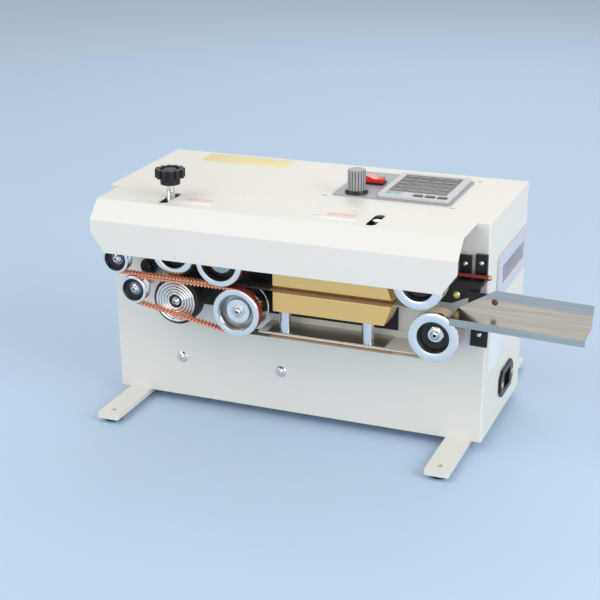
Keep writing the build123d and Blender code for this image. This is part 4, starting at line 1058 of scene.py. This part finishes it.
# ---------------------------------------------------------------- belts
@dataclass(frozen=True)
class BeltPath:
    """The line of a belt's outer face round two wheels, in millimetres."""

    left: Point
    right: Point
    left_r: float
    right_r: float

    def _facts(self) -> tuple[float, float, float, float]:
        """Works out how the belt runs.

        Returns:
            The heading from left to right, the tangent's lean, its length, and the loop's length.
        """
        run_x, run_z = self.right[0] - self.left[0], self.right[1] - self.left[1]
        span = math.hypot(run_x, run_z)
        lean = math.acos((self.left_r - self.right_r) / span)
        straight = math.sqrt(span * span - (self.left_r - self.right_r) ** 2)
        loop = 2 * straight + 2 * lean * self.right_r + (math.tau - 2 * lean) * self.left_r
        return math.atan2(run_z, run_x), lean, straight, loop

    def length(self) -> float:
        """The loop's length."""
        return self._facts()[3]

    def at(self, distance: float) -> tuple[float, float, float]:
        """The place and outward angle at a distance along the loop.

        Args:
            distance: How far along, clockwise from the left wheel's upper tangent point.

        Returns:
            x, z and the outward normal's angle.
        """
        heading, lean, straight, _ = self._facts()
        right_arc = 2 * lean * self.right_r
        if distance < straight:
            angle = heading + lean
            start = self._rim(self.left, self.left_r, angle)
            end = self._rim(self.right, self.right_r, angle)
            return (*self._between(start, end, distance / straight), angle)
        distance -= straight
        if distance < right_arc:
            angle = heading + lean - distance / self.right_r
            return (*self._rim(self.right, self.right_r, angle), angle)
        distance -= right_arc
        if distance < straight:
            angle = heading - lean
            start = self._rim(self.right, self.right_r, angle)
            end = self._rim(self.left, self.left_r, angle)
            return (*self._between(start, end, distance / straight), angle)
        angle = heading - lean - (distance - straight) / self.left_r
        return (*self._rim(self.left, self.left_r, angle), angle)

    def _rim(self, centre: Point, r: float, angle: float) -> Point:
        """A point on a wheel's rim."""
        return centre[0] + r * math.cos(angle), centre[1] + r * math.sin(angle)

    def _between(self, start: Point, end: Point, share: float) -> Point:
        """A point part of the way along a straight stretch."""
        return start[0] + (end[0] - start[0]) * share, start[1] + (end[1] - start[1]) * share


# A belt's section has three outer sides and then a rear, an inner and a front one. Each tooth takes
# four steps along the loop: a rise, two at full height and a gap.
OUTER_SIDES = 3
INNER_SIDE = 4
STEPS_PER_TOOTH = 4
TOOTH_STEPS = (1, 2)
GAP_STEP = 3


@dataclass
class Belt:
    """A belt swept along its path, with teeth inside if it has a tooth pitch."""

    node: str
    left_wheel: str
    right_wheel: str
    body: float
    tooth: float = 0.0
    pitch: float = 3.8
    edge: float = 0.25
    # Where the sealing belt's painted shade ends and its painted light begins, in millimetres along the
    # machine.
    shade_until: float = -6.0
    lit_from: float = 117.0

    def finish_of(self, side: int, step: int, x: float) -> int:
        """Picks the finish of one face.

        Args:
            side: The side of the belt's section that the face is on.
            step: How many steps along the loop it is.
            x: Where it is along the machine, in millimetres.

        Returns:
            On a guide belt 0 for teeth, 1 for the back, a darker red that is partly its own colour and
            partly painted shade, and 2 for the gaps, darkened as painted shade. On a sealing belt 1 towards
            the drive wheel, darkened as painted shade, 2 towards the front wheel, paler as painted light,
            and 0 between them.
        """
        if self.tooth > 0:
            # The outer sides take a darker red, partly the belt's own colour and partly painted shade.
            if side < OUTER_SIDES:
                return 1
            # The faces in the gaps between teeth take painted shade.
            return 2 if side == INNER_SIDE and step % STEPS_PER_TOOTH == GAP_STEP else 0
        # On a sealing belt, painted shade towards the drive wheel and painted light towards the front wheel.
        if x < self.shade_until:
            return 1
        return 2 if x > self.lit_from else 0

    def build(self) -> Piece:
        """Builds the belt in the CAD belt's place.

        Returns:
            The belt.
        """
        low, high = (in_mm(corner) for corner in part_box(self.node))
        left, right = in_mm(centre_of(self.left_wheel)), in_mm(centre_of(self.right_wheel))
        path = BeltPath((left.x, left.z), (right.x, right.z), left.x - low.x, high.x - right.x)
        count = STEPS_PER_TOOTH * round(path.length() / self.pitch)
        mesh = bmesh.new()
        rings = []
        for i in range(count):
            x, z, angle = path.at(path.length() * i / count)
            inward = Vector((-math.cos(angle), 0.0, -math.sin(angle)))
            depth = self.body + (self.tooth if i % STEPS_PER_TOOTH in TOOTH_STEPS else 0.0)
            edge = min(self.edge, 0.4 * self.body)
            section = ((low.y, edge), (low.y + edge, 0.0), (high.y - edge, 0.0), (high.y, edge),
                       (high.y, depth), (low.y, depth))
            rings.append([mesh.verts.new((Vector((x, y, z)) + inward * d) * MM) for y, d in section])
        for i, ring in enumerate(rings):
            far = rings[(i + 1) % count]
            for k in range(len(ring)):
                nxt = (k + 1) % len(ring)
                face = mesh.faces.new((ring[k], ring[nxt], far[nxt], far[k]))
                face.material_index = self.finish_of(k, i, ring[0].co.x / MM)
        finishes = [SALMON, BELT_BACK_AND_SHADE, BELT_GAP_SHADE] if self.tooth > 0 else [TAPE, TAPE_SHADE, TAPE_LIT]
        made = piece_of(f"{self.node}_loop", mesh, finishes, crease=40.0)
        return settle(made, BODY[self.node], [self.node])


@dataclass
class BeltSet:
    """The toothed guide belts and the flat sealing belts, upper and lower."""

    guide_body: float = 1.0
    guide_tooth: float = 1.8
    seal_body: float = 0.5
    seal_edge: float = 0.15

    def build(self) -> None:
        """Builds the four belts."""
        for level in ("upper", "lower"):
            tail, drive, front = (f"{level}_{wheel}_wheel" for wheel in ("tail", "drive", "front"))
            Belt(f"{level}_guide_belt", tail, drive, self.guide_body, self.guide_tooth).build()
            Belt(f"{level}_seal_belt", drive, front, self.seal_body, edge=self.seal_edge).build()


# ---------------------------------------------------------------- heater blocks
@dataclass
class HeaterHead:
    """The two gold blocks, their posts, shelf, shield, heaters and sprung bolts."""

    rounded: tuple[tuple[str, float], ...] = (
        ("lower_block", 0.5), ("upper_block", 0.5), ("mounting_plate", 0.4), ("shelf", 0.35),
        ("block_posts", 0.4), ("heater_cartridges", 0.3), ("spring_bolts", 0.3),
    )
    shield_round: float = 0.2
    spring_r: float = 4.6
    wire_r: float = 0.6
    turns: float = 7.0
    steps: int = 20

    def build(self) -> None:
        """Builds the heater head's pieces."""
        dress_all(self.rounded)
        dress("heat_shield", self.shield_round, [SATIN_SHEET])
        self.build_springs()

    def build_springs(self) -> None:
        """Builds one wound coil on each sprung bolt."""
        low, high = (in_mm(corner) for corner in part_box("block_springs"))
        y = (low.y + high.y) / 2
        first = low.x + self.spring_r + self.wire_r
        last = high.x - self.spring_r - self.wire_r
        for number, x in enumerate((first, last), start=1):
            count = round(self.turns * self.steps)
            path = []
            for i in range(count + 1):
                turn = math.tau * i / self.steps
                rise = low.z + self.wire_r + (high.z - low.z - 2 * self.wire_r) * i / count
                across, back = self.spring_r * math.cos(turn), self.spring_r * math.sin(turn)
                path.append(Vector((x + across, y + back, rise)))
            coil = tube(f"block_spring_{number}", path, self.wire_r, STEEL)
            settle(coil, "root", ["block_springs"])


# ---------------------------------------------------------------- pressure unit
@dataclass
class PressureUnit:
    """The star knob, its screw, the pusher and the swinging arm."""

    thread_pitch: float = 1.25
    thread_depth: float = 0.45
    tip_bevel: float = 1.0
    thread_from: float = 1.4
    thread_stop: float = 6.0
    neck: float = 5.0
    soften: float = 0.08
    steps: int = 48

    def build(self) -> None:
        """Builds the pressure unit's pieces."""
        dress("star_knob", 0.7)
        dress("pressure_brackets", 0.4)
        dress("press_arm", 0.4, [BLACK_STEEL])
        dress("pressure_pusher", 0.3)
        self.build_screw()

    def build_screw(self) -> None:
        """Builds the screw with its thread as close ridges."""
        low, high = (in_mm(corner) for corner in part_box("pressure_screw"))
        r = (high.x - low.x) / 2
        outline = [(0.0, low.z, 0), (r - self.tip_bevel, low.z, 0), (r, low.z + self.tip_bevel, 0)]
        z = low.z + self.thread_from
        while z < high.z - self.thread_stop:
            outline += [(r, z, 0), (r - self.thread_depth, z + 0.5 * self.thread_pitch, 0)]
            z += self.thread_pitch
        outline += [(r, high.z - self.neck, 0), (r, high.z, 0), (0.0, high.z, 0)]
        turned = Turned(tuple(outline), soften=self.soften, steps=self.steps)
        made = turned.build("pressure_screw_body", centre_of("pressure_screw"), Axis.Z, [CHROME])
        settle(made, BODY["pressure_screw"], ["pressure_screw"])


# ---------------------------------------------------------------- controls
@dataclass
class ControlTop:
    """The grey panel with the controller, its keys, the switch and the speed dial."""

    margin: float = 7.0
    field_front: float = 16.0
    field_depth: float = 0.6
    film_gap: float = 0.2
    film: float = 0.35
    film_corner: float = 1.5
    oval_size: Point = (10.5, 6.0)
    oval_sink: float = 0.05
    oval_rise: float = 0.35
    oval_rows: int = 5
    oval_columns: int = 4
    window_size: Point = (17.0, 9.5)
    window_front: float = 3.5
    window_border: float = 1.3
    spindle: float = 10.0
    skirt: float = 3.0
    dial_r: float = 8.8
    # Where the flutes take the dark keypad colour, as painted shade.
    flute_shade_band: Point = (1.2, 0.12)
    flute_shade_top: float = 18.5

    def build(self) -> None:
        """Builds the controls."""
        dress("control_panel", 0.35)
        dress("controller", 0.5)
        for number in (1, 2, 3):
            dress(f"key_{number}", 0.35, [KEY_DARK])
        dress("switch_housing", 0.4)
        dress("rocker", 0.45)
        dress("potentiometer", 0.3)
        self.build_dial()
        self.build_keypad()
        self.build_window()

    def build_dial(self) -> None:
        """Builds the fluted dial, with its skirt and foot in black and its flutes darkened as painted shade.
        """
        skirt_top = in_mm(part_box("speed_knob")[0]).z + self.spindle + self.skirt - 0.1
        middle = in_mm(centre_of("speed_knob"))

        def finish_at(at: Vector) -> int:
            """Picks the finish at a place on the dial.

            Args:
                at: The place, in millimetres.

            Returns:
                1 for the skirt and spindle, 2 in the flutes, darkened as painted shade, 0 elsewhere.
            """
            if at.z < skirt_top:
                return 1
            inside = self.dial_r - math.hypot(at.x - middle.x, at.y - middle.y)
            deepest, shallowest = self.flute_shade_band
            return 2 if shallowest < inside < deepest and at.z < self.flute_shade_top + skirt_top else 0

        dress("speed_knob", 0.3, [DIAL_GREY, BLACK_PLASTIC, KEYPAD], finish_at)

    def build_keypad(self) -> None:
        """Builds the dark film in its sunk field, with a grid of plain raised ovals."""
        low, high = (in_mm(corner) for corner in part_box("controller"))
        sunk = high.z - self.field_depth
        x0, x1 = low.x + self.margin + self.film_gap, high.x - self.margin - self.film_gap
        y0, y1 = low.y + self.field_front + self.film_gap, high.y - self.margin - self.film_gap
        film = slab("keypad_film", Vector((x0, y0, sunk)), Vector((x1, y1, sunk + self.film)),
                    self.film_corner, KEYPAD)
        settle(film, "root")
        width, height = self.oval_size
        for row in range(self.oval_rows):
            for column in range(self.oval_columns):
                x = x0 + (x1 - x0) * (column + 0.5) / self.oval_columns
                y = y0 + (y1 - y0) * (row + 0.5) / self.oval_rows
                below = Vector((x - width / 2, y - height / 2, sunk + self.film - self.oval_sink))
                above = Vector((x + width / 2, y + height / 2, sunk + self.film + self.oval_rise))
                key = slab(f"keypad_oval_{row}_{column}", below, above, 0.48 * height, KEY_FACE)
                settle(key, "root")

    def build_window(self) -> None:
        """Builds the display window in front of the film, in a thin pale surround."""
        low, high = (in_mm(corner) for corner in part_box("controller"))
        width, height = self.window_size
        border = self.window_border
        corner = Vector((low.x + self.margin, low.y + self.window_front, high.z))
        surround = slab("window_surround", corner, corner + Vector((width, height, 0.35)), 1.2, BEZEL)
        settle(surround, "root")
        inner = corner + Vector((border, border, 0.3))
        pane = slab("display_window", inner, corner + Vector((width - border, height - border, 0.55)), 0.8,
                    WINDOW)
        settle(pane, "root")


# ---------------------------------------------------------------- infeed end, sides, drive
@dataclass
class InfeedEnd:
    """The bright tray, its bracket, the black guide bracket and its insulated rod."""

    tip_from: float = 195.9
    tab_height: float = 180.0
    low_tab_height: float = 135.0
    tray_from: float = 182.0
    tabs_before: float = -60.0

    def screw_finish(self, at: Vector) -> int:
        """Picks the finish of one small screw.

        Args:
            at: A place on it, in millimetres.

        Returns:
            1 for plated screws on the black tabs, 2 for the tray's brown rivet, 0 for brass.
        """
        if at.y > self.tabs_before:
            return 0
        if at.z > self.tab_height or at.z < self.low_tab_height:
            return 1
        return 2 if at.x > self.tray_from else 0

    def build(self) -> None:
        """Builds the infeed end's pieces."""
        dress("infeed_tray", 0.3)
        dress("tray_bracket", 0.3)
        dress("guide_bracket", 0.4)
        dress("guide_rod", 0.2, [SLEEVE, COPPER], lambda at: 1 if at.x > self.tip_from else 0)
        dress("brass_screws", 0.12, [BRASS, CHROME, RIVET], self.screw_finish)


@dataclass
class SideFittings:
    """The two recessed handles and the power inlet."""

    blade_pitch: float = 7.0
    blade_rises: tuple[float, ...] = (-2.0, 2.5, -2.0)
    blade_back: float = 179.2
    blade_half: Point = (1.1, 2.1)

    def build(self) -> None:
        """Builds the handles and the inlet."""
        dress("side_handles", 0.6)
        low, high = (in_mm(corner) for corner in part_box("power_inlet"))
        middle = (low + high) / 2

        def is_blade(at: Vector) -> int:
            """Picks out the faces of the three blades.

            Args:
                at: A face's middle, in millimetres.

            Returns:
                1 on a blade, else 0.
            """
            for step, rise in enumerate(self.blade_rises, start=-1):
                near_y = abs(at.y - middle.y - step * self.blade_pitch) < self.blade_half[0]
                near_z = abs(at.z - middle.z - rise) < self.blade_half[1]
                if near_y and near_z and at.x > self.blade_back:
                    return 1
            return 0

        dress("power_inlet", 0.35, [BLACK_PLASTIC, BRASS], is_blade)


@dataclass
class DriveTrain:
    """The gears, motor, bracket and control board inside the cabinet."""

    rounded: tuple[tuple[str, float], ...] = (
        ("lower_drive_gear", 0.15), ("upper_drive_gear", 0.15), ("motor_gear", 0.15),
        ("gear_motor", 0.6), ("motor_bracket", 0.3), ("circuit_board", 0.2),
    )

    def build(self) -> None:
        """Builds the hidden drive pieces."""
        dress_all(self.rounded)


# ---------------------------------------------------------------- studio
@dataclass(frozen=True)
class Lamp:
    """One square area light that faces the machine, with its size in metres and power in watts."""

    name: str
    place: tuple[float, float, float]
    size: float
    power: float

    def build(self, target: Sequence[float]) -> None:
        """Builds the light.

        Args:
            target: The place that it faces, in metres.
        """
        data = bpy.data.lights.new(self.name, "AREA")
        data.size = self.size
        data.energy = self.power
        light = bpy.data.objects.new(self.name, data)
        light.location = self.place
        aim = Vector(target) - Vector(self.place)
        light.rotation_euler = aim.to_track_quat("-Z", "Y").to_euler()
        bpy.context.scene.collection.objects.link(light)


@dataclass
class Studio:
    """The pale floor, the soft lights and the camera."""

    camera_place: tuple[float, float, float] = (0.4798, -1.2625, 0.6016)
    azimuth: float = 23.46
    elevation: float = 21.57
    roll: float = -0.90
    lens: float = 83.52
    shift: Point = (0.069, 0.0565)
    floor_half: float = 6.0
    target: tuple[float, float, float] = (0.02, -0.04, 0.12)
    sky_colour: Colour = (1.0, 0.985, 0.96)
    sky_strength: float = 0.63
    lamps: tuple[Lamp, ...] = (
        Lamp("key_light", (-1.3, -1.2, 2.0), 1.6, 15.0),
        Lamp("fill_light", (1.9, -0.7, 1.1), 1.4, 23.0),
        Lamp("front_light", (0.1, -2.4, 0.6), 1.6, 11.0),
        Lamp("back_light", (-0.2, 1.8, 1.6), 1.6, 9.0),
    )

    def build(self) -> None:
        """Builds the studio."""
        self.build_floor()
        for lamp in self.lamps:
            lamp.build(self.target)
        self.build_world()
        self.build_camera()

    def build_floor(self) -> None:
        """Builds the floor as one large plane."""
        mesh = bmesh.new()
        half = self.floor_half
        corners = ((-half, -half), (half, -half), (half, half), (-half, half))
        mesh.faces.new([mesh.verts.new((x, y, 0.0)) for x, y in corners])
        floor = piece_of("studio_floor", mesh, [FLOOR])

    def build_world(self) -> None:
        """Fills the surroundings with a pale even light."""
        world = bpy.data.worlds.new("studio_world")
        world.use_nodes = True
        sky = world.node_tree.nodes["Background"]
        sky.inputs["Color"].default_value = (*self.sky_colour, 1.0)
        sky.inputs["Strength"].default_value = self.sky_strength
        bpy.context.scene.world = world
        bpy.context.scene.view_settings.view_transform = "Standard"

    def build_camera(self) -> None:
        """Sets the camera, seen from the front right and above."""
        turn, tilt, lean = (math.radians(a) for a in (self.azimuth, self.elevation, self.roll))
        back = Vector((math.sin(turn) * math.cos(tilt), -math.cos(turn) * math.cos(tilt), math.sin(tilt)))
        level = Vector((math.cos(turn), math.sin(turn), 0.0))
        upright = back.cross(level)
        right = level * math.cos(lean) + upright * math.sin(lean)
        up = upright * math.cos(lean) - level * math.sin(lean)
        data = bpy.data.cameras.new("main_camera")
        data.lens = self.lens
        data.shift_x, data.shift_y = self.shift
        camera = bpy.data.objects.new("main_camera", data)
        spin = Matrix((right, up, back)).transposed().to_4x4()
        camera.matrix_world = Matrix.Translation(self.camera_place) @ spin
        bpy.context.scene.collection.objects.link(camera)
        bpy.context.scene.camera = camera


def main() -> None:
    """Builds every sub-assembly in order."""
    logging.basicConfig(level=logging.INFO)
    for part in (Cabinet(), Hood(), WheelSet(), BeltSet(), HeaterHead(), PressureUnit(), ControlTop(),
                 InfeedEnd(), SideFittings(), DriveTrain(), Studio()):
        part.build()


if __name__ == "__main__":
    main()
